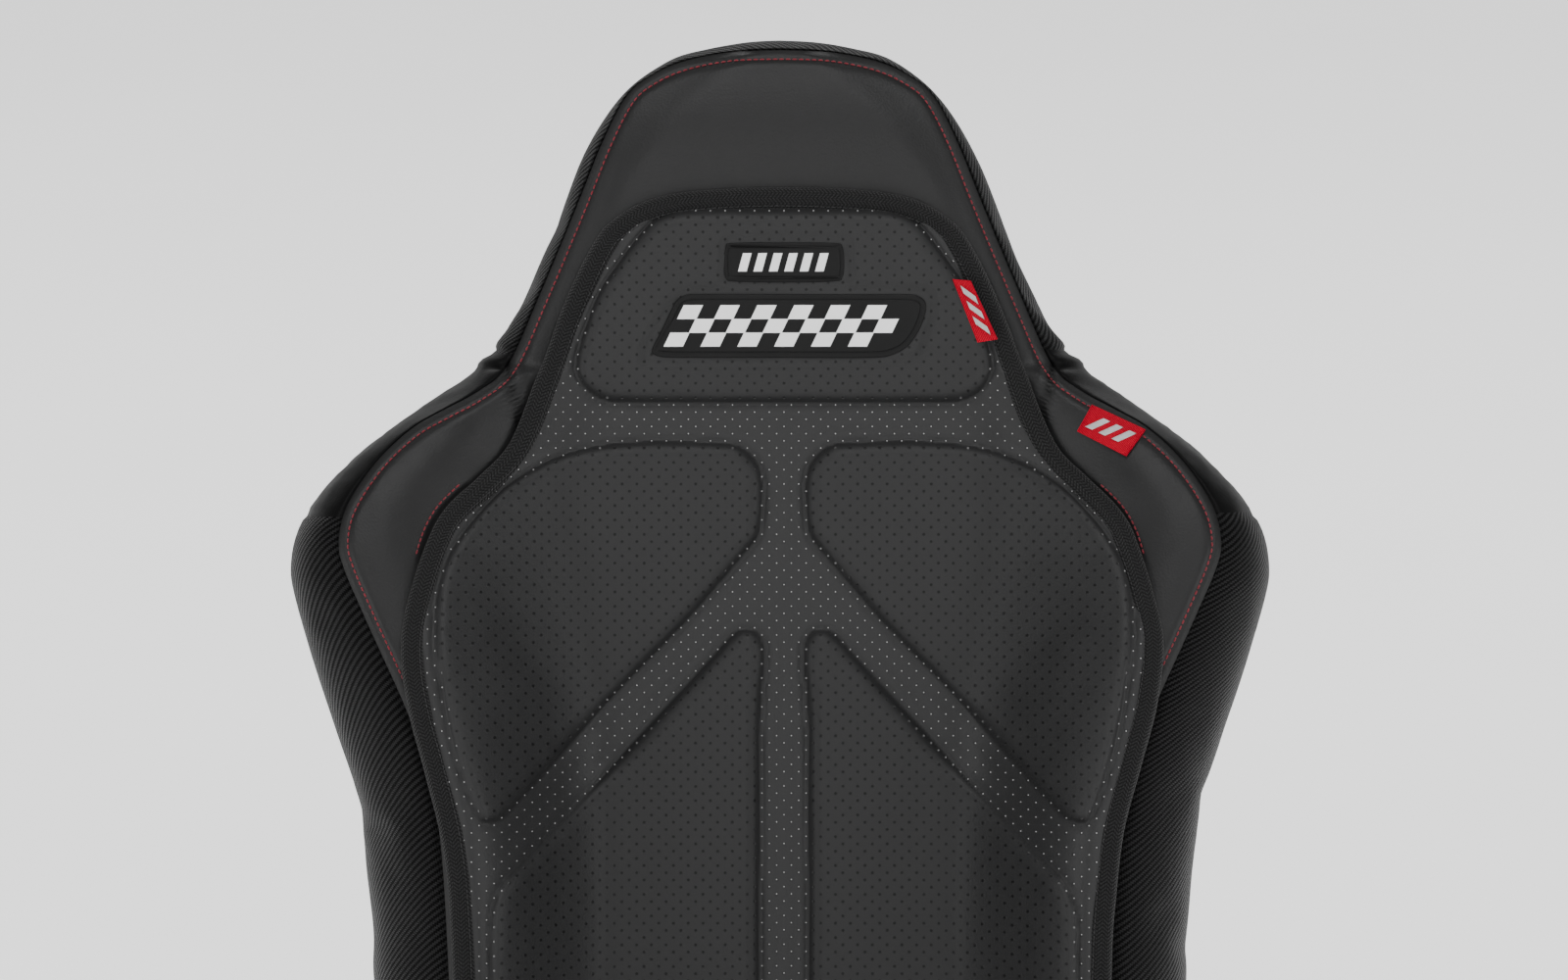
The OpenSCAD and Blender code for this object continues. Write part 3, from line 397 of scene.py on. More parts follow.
# ------------------------------------------------------------------ materials
class Paint:
    """A node material; each call adds one node and returns its output socket."""

    def __init__(self, name, color, roughness=0.5, metallic=0.0, specular=0.5, sheen=0.0):
        self.material = bpy.data.materials.new(name)
        self.material.use_nodes = True
        self.tree = self.material.node_tree
        self.shader = self.tree.nodes["Principled BSDF"]
        self.shader.inputs["Base Color"].default_value = (*color, 1)
        self.shader.inputs["Roughness"].default_value = roughness
        self.shader.inputs["Metallic"].default_value = metallic
        self.shader.inputs["Specular IOR Level"].default_value = specular
        self.shader.inputs["Sheen Weight"].default_value = sheen
        self.shader.inputs["Sheen Roughness"].default_value = 0.5
        self.material.diffuse_color = (*color, 1)

    def node(self, kind, **props):
        n = self.tree.nodes.new(kind)
        for key, value in props.items():
            setattr(n, key, value)
        return n

    def feed(self, socket, value):
        if isinstance(value, bpy.types.NodeSocket):
            self.tree.links.new(value, socket)
        elif isinstance(value, (tuple, list)) and len(value) == 3 and socket.type == "RGBA":
            socket.default_value = (*value, 1)
        else:
            socket.default_value = value

    def math(self, op, a, b=0.0):
        n = self.node("ShaderNodeMath", operation=op)
        self.feed(n.inputs[0], a)
        self.feed(n.inputs[1], b)
        return n.outputs[0]

    def plus(self, a, b):
        return self.math("ADD", a, b)

    def minus(self, a, b):
        return self.math("SUBTRACT", a, b)

    def times(self, a, b):
        return self.math("MULTIPLY", a, b)

    def wave(self, a):
        """Sine between 0 and 1."""
        return self.plus(self.times(self.math("SINE", a), 0.5), 0.5)

    def vector(self, op, a, b=(0, 0, 0)):
        n = self.node("ShaderNodeVectorMath", operation=op)
        self.feed(n.inputs[0], a)
        self.feed(n.inputs[1], b)
        return n.outputs["Value" if op == "LENGTH" else "Vector"]

    def split(self, vector):
        n = self.node("ShaderNodeSeparateXYZ")
        self.feed(n.inputs[0], vector)
        return n.outputs[0], n.outputs[1], n.outputs[2]

    def place(self):
        return self.node("ShaderNodeTexCoord").outputs["Object"]

    def uv(self):
        return self.node("ShaderNodeTexCoord").outputs["UV"]

    def mark(self, name):
        return self.node("ShaderNodeAttribute", attribute_name=name).outputs["Fac"]

    def noise(self, scale, detail=2.0, rough=0.5, where=None):
        n = self.node("ShaderNodeTexNoise")
        self.feed(n.inputs["Vector"], where or self.place())
        n.inputs["Scale"].default_value = scale
        n.inputs["Detail"].default_value = detail
        n.inputs["Roughness"].default_value = rough
        return n.outputs["Fac"]

    def cells(self, scale, feature="F1"):
        n = self.node("ShaderNodeTexVoronoi", feature=feature)
        self.feed(n.inputs["Vector"], self.place())
        n.inputs["Scale"].default_value = scale
        return n.outputs["Distance"]

    def ramp(self, value, low, high, to_low=0.0, to_high=1.0):
        n = self.node("ShaderNodeMapRange", interpolation_type="SMOOTHSTEP")
        ends = {"Value": value, "From Min": low, "From Max": high, "To Min": to_low, "To Max": to_high}
        for key, v in ends.items():
            self.feed(n.inputs[key], v)
        return n.outputs["Result"]

    def worn(self, low, high):
        """Share of wear on outer edges and corners."""
        return self.ramp(self.node("ShaderNodeNewGeometry").outputs["Pointiness"], low, high)

    def mix(self, share, a, b):
        n = self.node("ShaderNodeMix", data_type="RGBA")
        self.feed(n.inputs["Factor"], share)
        self.feed(n.inputs["A"], a)
        self.feed(n.inputs["B"], b)
        return n.outputs["Result"]

    def bump(self, height, distance, strength=1.0, over=None):
        n = self.node("ShaderNodeBump")
        self.feed(n.inputs["Height"], height)
        n.inputs["Distance"].default_value = distance
        n.inputs["Strength"].default_value = strength
        if over is not None:
            self.feed(n.inputs["Normal"], over)
        return n.outputs["Normal"]

    def finish(self, color=None, roughness=None, normal=None):
        if color is not None:
            self.feed(self.shader.inputs["Base Color"], color)
        if roughness is not None:
            self.feed(self.shader.inputs["Roughness"], roughness)
        if normal is not None:
            self.feed(self.shader.inputs["Normal"], normal)
        return self.material


def grey(v):
    return (v, v, v * 1.02)


def scaled(color, k, more=0.0):
    return tuple(min(c * k + more, 1) for c in color)


def leather_grain(p, strength=1.0):
    """Fine hide grain over soft unevenness."""
    pebbles = p.cells(780.0, "SMOOTH_F1")
    fine = p.noise(2200.0, 2.0)
    slow = p.noise(60.0, 3.0)
    normal = p.bump(slow, 0.0006, 0.25 * strength)
    normal = p.bump(pebbles, 0.00022, 0.55 * strength, normal)
    return p.bump(fine, 0.00008, 0.5 * strength, normal), slow, pebbles


def leather(name, tone=0.0125, roughness=0.5, grain=1.0, specular=0.3):
    p = Paint(name, grey(tone), roughness, specular=specular)
    normal, slow, pebbles = leather_grain(p, grain)
    wear = p.worn(0.52, 0.60)
    shade = p.mix(slow, grey(tone * 0.82), grey(tone * 1.2))
    shade = p.mix(p.times(wear, 0.35), shade, grey(tone * 1.9))
    # Darkened along the seams and the crease: painted shade in their grooves.
    shade = p.mix(p.times(p.mark("seam"), 0.92), shade, grey(0.0006))
    rough = p.plus(p.times(slow, 0.12), roughness - 0.06)
    return p.finish(shade, p.minus(rough, p.times(pebbles, 0.05)), normal)


def perforated(name, tone=0.0165):
    """Leather with staggered punched holes: pale in the flat channels and dark on the raised panels."""
    p = Paint(name, grey(tone), 0.5, specular=0.28)
    normal, slow, _ = leather_grain(p, 0.8)
    panel = p.mark("panel")
    pitch = (0.0088, 0.0086, 1.0)
    across = p.vector("DIVIDE", p.uv(), pitch)

    def dots(offset):
        part = p.vector("FRACTION", p.vector("ADD", across, offset))
        middle = p.vector("SUBTRACT", part, (0.5, 0.5, 0.0))
        return p.vector("LENGTH", p.vector("MULTIPLY", middle, (8.8, 8.6, 0.0)))

    gap = p.math("MINIMUM", dots((0.5, 0.5, 0.0)), dots((10.0, 10.0, 0.0)))
    size = p.plus(0.36, p.times(panel, 0.46))
    hole = p.ramp(p.minus(gap, size), -0.12, 0.12, 1.0, 0.0)
    rim = p.ramp(gap, 0.5, 1.3, 1.0, 0.0)
    shade = p.mix(slow, grey(tone * 0.86), grey(tone * 1.16))
    shade = p.mix(p.times(p.minus(1.0, panel), 0.4), shade, grey(tone * 1.3))
    inner = p.mix(panel, (0.4, 0.4, 0.4), grey(0.0002))
    # Darkened round the foot of each panel: painted shade where the panels meet the channels.
    shade = p.mix(p.mark("seam"), shade, grey(0.002))
    shade = p.mix(hole, shade, inner)
    normal = p.bump(rim, 0.0004, 0.5, normal)
    rough = p.plus(p.times(slow, 0.1), p.plus(0.44, p.times(panel, 0.06)))
    return p.finish(shade, rough, normal)


def carbon(name):
    """Embossed twill vinyl: over-and-under tows on a diagonal."""
    p = Paint(name, grey(0.01), 0.4, specular=0.06)
    cell = 0.00122
    turned = p.node("ShaderNodeMapping", vector_type="POINT")
    p.feed(turned.inputs["Vector"], p.uv())
    turned.inputs["Scale"].default_value = (1 / cell, 1 / cell, 1)
    turned.inputs["Rotation"].default_value = (0, 0, math.radians(-10))
    x, y, _ = p.split(turned.outputs[0])
    step = p.minus(p.math("FLOOR", x), p.math("FLOOR", y))
    over = p.math("LESS_THAN", p.math("FLOORED_MODULO", step, 4.0), 2.0)

    def crown(v):
        c = p.minus(p.math("FRACT", v), 0.5)
        return p.minus(1.0, p.times(p.times(c, c), 3.0))

    under = p.minus(1.0, over)
    height = p.plus(p.times(over, crown(x)), p.times(p.times(under, crown(y)), 0.55))
    slow = p.noise(40.0, 2.0)
    shade = p.mix(over, grey(0.001), grey(0.015))
    shade = p.mix(p.times(slow, 0.25), shade, grey(0.005))
    normal = p.bump(slow, 0.0008, 0.3)
    normal = p.bump(height, 0.00045, 1.0, normal)
    rough = p.plus(0.66, p.times(over, -0.24))
    return p.finish(shade, rough, normal)


def woven(name, color, pitch=0.0011, roughness=0.85, dark=0.45, lean=0.7, sheen=0.1, specular=0.2):
    """Woven tape: ribs that zigzag along its length."""
    p = Paint(name, color, roughness, specular=specular, sheen=sheen)
    s, t, _ = p.split(p.uv())
    zig = p.math("PINGPONG", t, 0.0032)
    along = p.times(p.plus(s, p.times(zig, lean)), 2 * math.pi / pitch)
    across = p.times(t, 2 * math.pi / (pitch * 0.62))
    fuzz = p.noise(1800.0, 2.0)
    height = p.plus(p.times(p.wave(along), p.plus(0.4, p.times(p.wave(across), 0.6))), p.times(fuzz, 0.5))
    # Rib crowns painted lighter and the gaps between threads darker: painted highlight and shade over the
    # weave.
    shade = p.mix(p.ramp(height, 0.2, 1.1), scaled(color, dark), scaled(color, 1.6))
    return p.finish(shade, p.plus(roughness - 0.08, p.times(fuzz, 0.12)), p.bump(height, 0.0006, 0.9))


def cloth(name, color, pitch=0.0009, roughness=0.9):
    """Plain weave placed in space, for CAD webbing and linings."""
    p = Paint(name, color, roughness, specular=0.2, sheen=0.1)
    x, y, z = [p.math("SINE", p.times(v, 2 * math.pi / pitch)) for v in p.split(p.place())]
    height = p.plus(p.times(p.times(x, p.plus(y, z)), 0.25), 0.5)
    fuzz = p.noise(900.0, 3.0)
    shade = p.mix(p.times(fuzz, 0.8), scaled(color, 0.6), scaled(color, 1.5))
    return p.finish(shade, p.plus(roughness - 0.1, p.times(fuzz, 0.15)), p.bump(height, 0.0003, 0.7))


def thread(name, color):
    p = Paint(name, color, 0.6, specular=0.35, sheen=0.2)
    s, t, _ = p.split(p.uv())
    twist = p.math("SINE", p.times(p.plus(s, p.times(t, 0.3)), 9000.0))
    fuzz = p.noise(3000.0)
    shade = p.mix(fuzz, scaled(color, 0.55), color)
    return p.finish(shade, p.plus(0.5, p.times(fuzz, 0.2)), p.bump(twist, 0.0001, 0.6))


def moulded(name, color, roughness=0.5, grain=0.5, specular=0.45):
    """Moulded plastic or rubber with a fine spark texture and slight rub marks."""
    p = Paint(name, color, roughness, specular=specular)
    fine = p.noise(1500.0, 2.0)
    slow = p.noise(35.0, 3.0)
    wear = p.worn(0.53, 0.62)
    shade = p.mix(slow, scaled(color, 0.85), scaled(color, 1.15))
    shade = p.mix(p.times(wear, 0.3), shade, scaled(color, 2.2, 0.01))
    rough = p.plus(roughness - 0.05, p.times(slow, 0.12))
    return p.finish(shade, rough, p.bump(fine, 0.00012, grain))


def metal(name, color, roughness, coated=False):
    """Zinc-plated or powder-coated steel."""
    p = Paint(name, color, roughness, metallic=0.0 if coated else 1.0, specular=0.5)
    slow = p.noise(28.0, 4.0, 0.6)
    stretched = p.node("ShaderNodeMapping")
    p.feed(stretched.inputs["Vector"], p.place())
    stretched.inputs["Scale"].default_value = (1.0, 0.06, 1.0)
    brush = p.noise(900.0, 2.0, where=stretched.outputs[0])
    orange = p.noise(700.0, 1.0)
    wear = p.worn(0.53, 0.6)
    shade = p.mix(slow, scaled(color, 0.8), scaled(color, 1.12))
    bright = (0.25, 0.25, 0.26) if coated else scaled(color, 1.3)
    shade = p.mix(p.times(wear, 0.4), shade, bright)
    rough = p.plus(roughness - 0.08, p.times(p.plus(slow, brush), 0.09))
    return p.finish(shade, rough, p.bump(orange if coated else brush, 0.00006, 0.6))


def foam_rubber(name, color):
    p = Paint(name, color, 0.9, specular=0.2)
    holes = p.cells(500.0)
    # Darker towards the middle of each pore: painted shade in the pores.
    shade = p.mix(holes, scaled(color, 0.5), color)
    return p.finish(shade, None, p.bump(holes, 0.0006, 0.8))


LEATHER = leather("leather_black", 0.009, 0.5, 1.3)
LEATHER_REAR = leather("leather_rear", 0.012, 0.5, 1.3)
SHOULDER = leather("leather_shoulder", 0.0035, 0.5, 0.9, 0.07)
PERFORATED = perforated("leather_perforated")
CARBON = carbon("carbon_weave_vinyl")
TAPE = woven("binding_tape", grey(0.0105), 0.0023, 0.85, 0.08, 0.9)
RED_LABEL = woven("label_red_weave", (0.5, 0.002, 0.022), 0.0009, 0.8, 0.6, 0.0, sheen=0.0, specular=0.08)
WHITE_THREAD = woven("label_white_weave", (0.82, 0.82, 0.82), 0.0006, 0.6, 0.75, 0.0)
RED_THREAD = thread("thread_red", (0.26, 0.004, 0.018))
BLACK_THREAD = thread("thread_black", (0.012, 0.012, 0.0125))
WEBBING = cloth("webbing_black", (0.012, 0.012, 0.0125), 0.0016)
STRAP = woven("strap_weave", grey(0.014), 0.0018, 0.85, 0.5, 0.3)
LINING = cloth("lining_black", (0.010, 0.010, 0.0105))
RUBBER_BADGE = moulded("badge_rubber", grey(0.0025), 0.5, 0.3, 0.2)
WHITE_RUBBER = moulded("badge_white", (0.86, 0.86, 0.86), 0.38, 0.2)
GRIP = moulded("grip_rubber", grey(0.01), 0.62, 1.0, 0.3)
PLASTIC = moulded("cover_plastic", grey(0.010), 0.48, 0.9, 0.35)
ZINC = metal("zinc_steel", (0.58, 0.59, 0.61), 0.34)
BLACK_STEEL = metal("black_steel", (0.018, 0.018, 0.02), 0.42, coated=True)
FOAM = foam_rubber("seat_foam", (0.3, 0.3, 0.31))

SLOT_PAINT = {
    "leather_black": LEATHER, "carbon_vinyl": CARBON, "seat_foam": FOAM, "webbing": WEBBING,
    "label_red": RED_LABEL, "badge_rubber": RUBBER_BADGE, "grip_rubber": GRIP, "cover_plastic": PLASTIC,
    "steel_black": BLACK_STEEL, "steel_zinc": ZINC,
}
slot_of = {s["node"]: s["material_slot"] for s in frame["record"]["subparts"]}
for node_name, node in frame["nodes"].items():
    node.data.materials.clear()
    node.data.materials.append(SLOT_PAINT[slot_of[node_name]])

# ------------------------------------------------------------------ backrest shape
SILHOUETTE = spline([
    (218, 30), (223, 90), (234, 150), (241, 225), (242, 260), (250, 331), (264, 378), (287, 448),
    (292, 478), (282, 508), (250, 543), (187, 590), (158, 625), (136, 672), (118, 719), (97, 755),
    (68, 778), (44, 785), (22, 789), (0, 790)], 6)
CREASE = spline([
    (189, 30), (192, 120), (199, 290), (208, 350), (221, 390), (246, 445), (259, 475), (262, 491),
    (257, 512), (240, 538), (219, 558), (200, 569), (180, 580), (163, 595), (145, 635), (122, 690),
    (106, 730), (92, 757), (78, 769), (58, 778), (30, 783.5), (0, 784.6)], 6)
FAN_V = 680.0  # above this height the covers fan out round the middle of the headrest
VALLEY = track([
    (784, 10), (740, 60), (700, 90), (640, 100), (600, 108), (560, 112), (520, 112), (470, 110), (410, 106),
    (350, 104), (300, 102), (200, 104), (120, 108), (30, 110)])
INSERT = track([
    (30, 46), (110, 50), (200, 53), (300, 52), (420, 50), (520, 50), (600, 52), (680, 56), (740, 56),
    (784, 46)])
CREST = track([
    (30, 60), (70, 82), (130, 112), (200, 136), (300, 146), (410, 138), (450, 130), (490, 121), (520, 111),
    (545, 99), (570, 84), (590, 71), (605, 62), (680, 55), (740, 51), (784, 42)])
SIDE = track([(30, 22), (120, 36), (300, 42), (470, 42), (560, 28), (600, 16), (700, 10), (790, 8)])
BOTH_CREASE = np.concatenate([CREASE, CREASE[-2::-1] * [-1, 1]])
REAR_W = -24.0


def bolster(s):
    s = np.clip(s, 0, 1)
    return smooth(s * 1.15) * 0.75 + 0.25 * np.sin(s * math.pi / 2) * smooth(s * 2.2)


def front_w(u, v):
    """How far the cover's face stands ahead of the hinge plane."""
    u, v = np.broadcast_arrays(np.asarray(u, float), np.asarray(v, float))
    edge = np.maximum(at(CREASE[:, ::-1], v), 30.0)
    dip = np.minimum(at(VALLEY, v), edge - 2)
    low, high = at(INSERT, v), at(CREST, v)
    return low + (high - low) * bolster((np.abs(u) - dip) / (edge - dip))


NECK_SEAM = spline([(163, 595), (160, 580), (157, 568), (155, 556), (150, 540)], 6)
INNER_SEAM = spline([(187, 523), (200, 510), (208, 496), (213, 480)], 6)


def cover_w(u, v, fine=True):
    """Front cover with its rolled edge, seams and drag wrinkles."""
    u, v = np.broadcast_arrays(np.asarray(u, float), np.asarray(v, float))
    p = np.stack([np.abs(u), v], -1)
    d = to_line(p, CREASE)
    w = front_w(u, v) - 4.2 * np.exp(-d / 6.5) - 0.8 * bell(d - 5.5, 1.3)
    w = w + 0.5 * bell(d - 9.5, 3.0)
    neck = to_line(p, NECK_SEAM)
    w = w - 2.8 * bell(neck, 1.3) + 0.8 * bell(neck - 4.5, 3.0)
    w = w - 1.4 * bell(to_line(p, INNER_SEAM), 1.6)
    if fine:
        q = np.stack([u, v * 0.45, w * 0.3], -1)
        drag = smooth((v - 440) / 60) * smooth((640 - v) / 40) * smooth((np.abs(u) - 120) / 40)
        w = w + ripple(q, 13.0, 3.1) * 0.55 * drag + ripple(q, 60.0, 9.2)
    return w


def polar_reach(line, centre_v, angles):
    rel = line - [0, centre_v]
    keep = rel[:, 1] > -25
    phi, r = np.arctan2(rel[keep, 1], rel[keep, 0]), np.hypot(rel[keep, 0], rel[keep, 1])
    order = np.argsort(phi)
    return np.interp(angles, phi[order], r[order])


def stations(inner_line, outer_line, bottom, fan_v, row_pitch, fan_count):
    """Lines that run out from the middle, up the right side, over the top and down the left side.

    Gives their origins, their directions and how far out each meets the inner and the outer line.
    """
    v = np.arange(bottom, fan_v, row_pitch)
    phi = np.linspace(0, math.pi / 2, fan_count)
    o = np.concatenate([np.stack([v * 0, v], 1), np.repeat([[0, fan_v]], fan_count, 0)])
    d = np.concatenate([np.repeat([[1.0, 0.0]], len(v), 0), np.stack([np.cos(phi), np.sin(phi)], 1)])
    reach = []
    for line in (inner_line, outer_line):
        rows = np.interp(v, line[:, 1], line[:, 0])
        reach.append(np.concatenate([rows, polar_reach(line, fan_v, phi)]))
    flip = [-1.0, 1.0]
    o = np.concatenate([o, o[-2::-1] * flip])
    d = np.concatenate([d, d[-2::-1] * flip])
    reach = [np.concatenate([r, r[-2::-1]]) for r in reach]
    return o, d, reach[0], reach[1]


origin, way, crease_r, outer_r = stations(CREASE, SILHOUETTE, FOOT_V, FAN_V, 2.5, 70)


def mirrored(right, shift=0.0):
    """Closed counter-clockwise outline from its right half, given from the bottom middle upwards."""
    right = np.array(right, float)
    left = right[::-1] * [-1, 1]
    keep = np.abs(left[:, 0]) > 0.01
    return spline(np.concatenate([right, left[keep]]), 6, closed=True) + [shift, 0]


PAD_EDGE = mirrored([
    (0, 88), (150, 88), (176, 92), (189, 102), (194, 122), (195, 160), (195, 240), (200, 305),
    (210, 350), (221, 390), (225.5, 422), (223, 450), (211, 490), (200, 510), (180, 530), (162, 550),
    (146, 590), (130, 632), (112, 670), (100, 683), (80, 694), (55, 699.5), (0, 702)], PAD_SHIFT / 2)
WING_LABEL = [(186, 572), (218, 557), (206, 541), (177, 556)]

# Front cover
edge_gaps = np.concatenate([
    np.arange(66, 12, -2.0), [12, 10.4, 9, 8, 7.2, 6.4, 5.7, 5, 4.2, 3.4, 2.6, 1.8, 0.9, 0]])
radii = np.array([np.concatenate([np.linspace(0, r - 68, 12), r - edge_gaps]) for r in crease_r])
uv_front = origin[:, None, :] + way[:, None, :] * radii[..., None]
w_front = cover_w(uv_front[..., 0], uv_front[..., 1])
points = back(uv_front[..., 0], uv_front[..., 1], w_front)
mirror_uv = np.stack([np.abs(uv_front[..., 0]), uv_front[..., 1]], -1)
free = smooth((crease_r[:, None] - radii - 9.0) / 8.0) * smooth((-3 - depth_inside(uv_front, PAD_EDGE)) / 6.0)
for seam in (NECK_SEAM, INNER_SEAM):
    free = free * smooth((to_line(mirror_uv, seam) - 2.0) / 5.0)
label_line = np.array(WING_LABEL, float)
free = free * smooth((to_line(uv_front, label_line, closed=True) - 3.0) / 5.0)
free = free * ~inside(uv_front, label_line) * (uv_front[..., 1] > FOOT_V + 4)
points = inflated(points, 1 - free, (2, 1), 0.003, slack=0.006)
# Where the front cover is painted darker: painted shade along the neck seam and in the crease.
seam = bell(to_line(mirror_uv, NECK_SEAM), 2.0) + bell(crease_r[:, None] - radii, 1.2)
seam = np.clip(seam, 0, 1)
front = grid_object("backrest_front_leather", points, [LEATHER], uv_front, marks={"seam": seam})
weld(front)
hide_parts("backrest_front_cover", "backrest_foam")
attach(front, "backrest")


def run_down(points):
    """Length run so far down each column of a grid."""
    steps = np.linalg.norm(np.diff(points, axis=1), axis=2)
    return np.concatenate([np.zeros((len(points), 1)), np.cumsum(steps, axis=1)], axis=1)


# Side band: carbon-weave vinyl round the headrest and down the sides, plain leather on the shoulder tops
angles = np.radians(np.concatenate([[0, 1.5, 3.5, 6, 9, 13, 18, 24], np.linspace(31, 180, 26)]))
crease_uv = origin + way * crease_r[:, None]
outer_uv = origin + way * outer_r[:, None]
w_crease = cover_w(crease_uv[:, 0], crease_uv[:, 1], fine=False)
mid = at(SIDE, crease_uv[:, 1])
sine, cosine = np.sin(angles), np.cos(angles)
front_half = angles <= math.pi / 2
r_band = np.where(front_half, crease_r[:, None] + (outer_r - crease_r)[:, None] * sine,
                  outer_r[:, None] + REAR_CORNER * (sine - 1))
w_band = np.where(front_half, mid[:, None] + (w_crease - mid)[:, None] * cosine,
                  mid[:, None] + (mid[:, None] - REAR_W) * cosine)
v_outer = outer_uv[:, 1][:, None]
NECK_V, SHOULDER_V = 604.0, 506.0
is_neck = bell(v_outer - NECK_V, 2.0)
pucker = 3.2 * bell(v_outer - NECK_V + 5.5, 4.0) - 2.6 * is_neck
pucker = pucker + 1.6 * bell(v_outer - NECK_V - 6, 4.0)
out_wide = np.abs(outer_uv[:, 0])[:, None]
pucker = pucker - 1.6 * bell(v_outer - SHOULDER_V, 1.8) * (out_wide > 200)
swell = np.sin(np.clip(angles / math.pi, 0, 1) * math.pi)
shoulder = smooth((v_outer - 500) / 20) * smooth((612 - v_outer) / 8)
band_uv = origin[:, None, :] + way[:, None, :] * r_band[..., None]
q = np.stack([band_uv[..., 0] * 1.3, band_uv[..., 1] * 1.3, w_band * 0.5], -1)
folds = ripple(q, 9.0, 5.0) * 0.9 * shoulder + ripple(q, 45.0, 2.0) * 0.9
fade = smooth(np.degrees(angles) / 16)
push = (pucker * swell ** 0.5 + folds) * fade
band_uv = band_uv + way[:, None, :] * (push * np.maximum(sine, 0.25))[..., None]
w_band = w_band + push * np.clip(cosine, -0.3, 1) * 0.5 - 1.4 * bell(np.degrees(angles), 5.0)
points = back(band_uv[..., 0], band_uv[..., 1], w_band)
degrees_round = np.degrees(angles)[None, :]
free = smooth((degrees_round - 7) / 14) * smooth((172 - degrees_round) / 14) * smooth((v_outer - 34) / 14)
free = free * smooth((np.abs(v_outer - NECK_V) - 2.5) / 5)
points = inflated(points, 1 - free, (2, 1), 0.0024, slack=0.006)
along = line_length(outer_uv)[:, None]
across = run_down(points * 1000)
plain = (v_outer < NECK_V) & (v_outer > SHOULDER_V) & (out_wide > 150)
band = grid_object("backrest_side_band_vinyl", points, [CARBON, SHOULDER], together(along, across),
                   face_slots=np.broadcast_to(plain.astype(int), across.shape))
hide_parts("backrest_side_band")
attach(band, "backrest")

# Red topstitch inside the crease, on both sides of the headrest and wings
def inset_line(line, gap):
    return line + gap * left_of(unit(np.gradient(line, axis=0)))


def along_face(line, face, h):
    """Points and outward normals of a line that lies h over a surface."""
    a, b = line[:, 0], line[:, 1]
    x = face(a + 2, b, h) - face(a - 2, b, h)
    y = face(a, b + 2, h) - face(a, b - 2, h)
    return face(a, b, h), unit(np.cross(x, y))


def cover_face(u, v, h):
    return back(u, v, cover_w(u, v) + h)


def red_stitches(name, line, face, body):
    """Red topstitch along a line on a cover."""
    p, n = along_face(resample(line, 2.0), face, 0.1)
    row = stitches(name, p, n, RED_THREAD)
    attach(row, body)


crease_row = inset_line(resample(BOTH_CREASE, 4.0), COVER_STITCH)
red_stitches("topstitch_red_backrest", crease_row, cover_face, "backrest")
for side, label in ((1, "left"), (-1, "right")):
    red_stitches(f"topstitch_red_wing_{label}", (INNER_SEAM + [3.4, 1.8]) * [side, 1], cover_face, "backrest")

# Rear cover, its piping and the underside
rear_edge = outer_r - REAR_CORNER - 1.0
seam_r = np.minimum(REAR_SEAM_U, 0.55 * rear_edge)[:, None]
inner_share = np.array([0, 0.17, 0.34, 0.51, 0.68, 0.84, 0.94, 0.98, 1.0])
outer_share = np.array([0.018, 0.06, 0.16, 0.3, 0.45, 0.6, 0.73, 0.83, 0.9, 0.95, 0.98, 1.0])
r_rear = np.concatenate([seam_r * inner_share, seam_r + (rear_edge[:, None] - seam_r) * outer_share], axis=1)
uv_rear = origin[:, None, :] + way[:, None, :] * r_rear[..., None]
rim = rear_edge[:, None] - r_rear
w_rear = REAR_W - 3.5 + 3.2 * np.exp(-rim / 5.0)
rear_v = uv_rear[..., 1]
seam_u = np.abs(np.abs(uv_rear[..., 0]) - REAR_SEAM_U)
w_rear = w_rear + 1.6 * bell(seam_u, 2.0) * smooth((REAR_SEAM_TOP - rear_v) / 20)
w_rear = w_rear + 1.2 * bell(rear_v - REAR_CROSS_V, 2.2)
w_rear = w_rear + ripple(np.stack([uv_rear[..., 0], rear_v, w_rear], -1), 70.0, 4.0) * 1.2
points = back(uv_rear[..., 0], rear_v, w_rear)
free = smooth((rim - 4) / 10) * smooth((seam_u - 2) / 6 + (rear_v > REAR_SEAM_TOP))
free = free * smooth((np.abs(rear_v - REAR_CROSS_V) - 2) / 6)
points = inflated(points, 1 - free, (2, 1), 0.0035, slack=0.01, flip=True)
# The rear cover is painted darker along its side seams below the cross seam: painted shade in the seams.
rear = grid_object("backrest_rear_leather", points, [LEATHER_REAR], uv_rear, flip=True,
                   marks={"seam": 0.8 * bell(seam_u, 1.3) * (rear_v < REAR_CROSS_V)})
weld(rear)
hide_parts("backrest_rear_cover")
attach(rear, "backrest")
seam_uv = origin + way * (outer_r - REAR_CORNER + 0.2)[:, None]
piping_path = back(seam_uv[:, 0], seam_uv[:, 1], REAR_W - 1.2)
piping = tube("backrest_rear_piping", piping_path, 0.0022, LEATHER, up=(0, 1, 0))
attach(piping, "backrest")

width = np.linspace(-1, 1, 61)
low_u = width * 189.0
share = np.linspace(0, 1, 9)[:, None]
w_low = (front_w(low_u, FOOT_V) - 4.4) * (1 - share) + (REAR_W - 0.5) * share
u_low = low_u * (1 - share) + width * (217.5 - REAR_CORNER) * share
bulge = 14.0 * np.sin(share * math.pi) * (1 - width[None, :] ** 6)
u_low = u_low + np.sign(low_u) * np.abs(width) ** 8 * 12 * np.sin(share * math.pi)
v_low = FOOT_V - 0.25 * bulge + 0 * u_low
under = grid_object("backrest_underside_lining", back(u_low, v_low, w_low), [LINING],
                    np.stack([u_low, w_low], -1), flip=True)
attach(under, "backrest")


# ------------------------------------------------------------------ quilted pad
def rise(depth, round_over, high):
    t = np.clip(depth / round_over, 0, 1)
    return high * np.power(1 - np.power(1 - t, 2.3), 0.62)


PAD_FLOOR, PAD_RISE = 8.0, 7.2  # the flat channels over the cover, and the panels over the channels


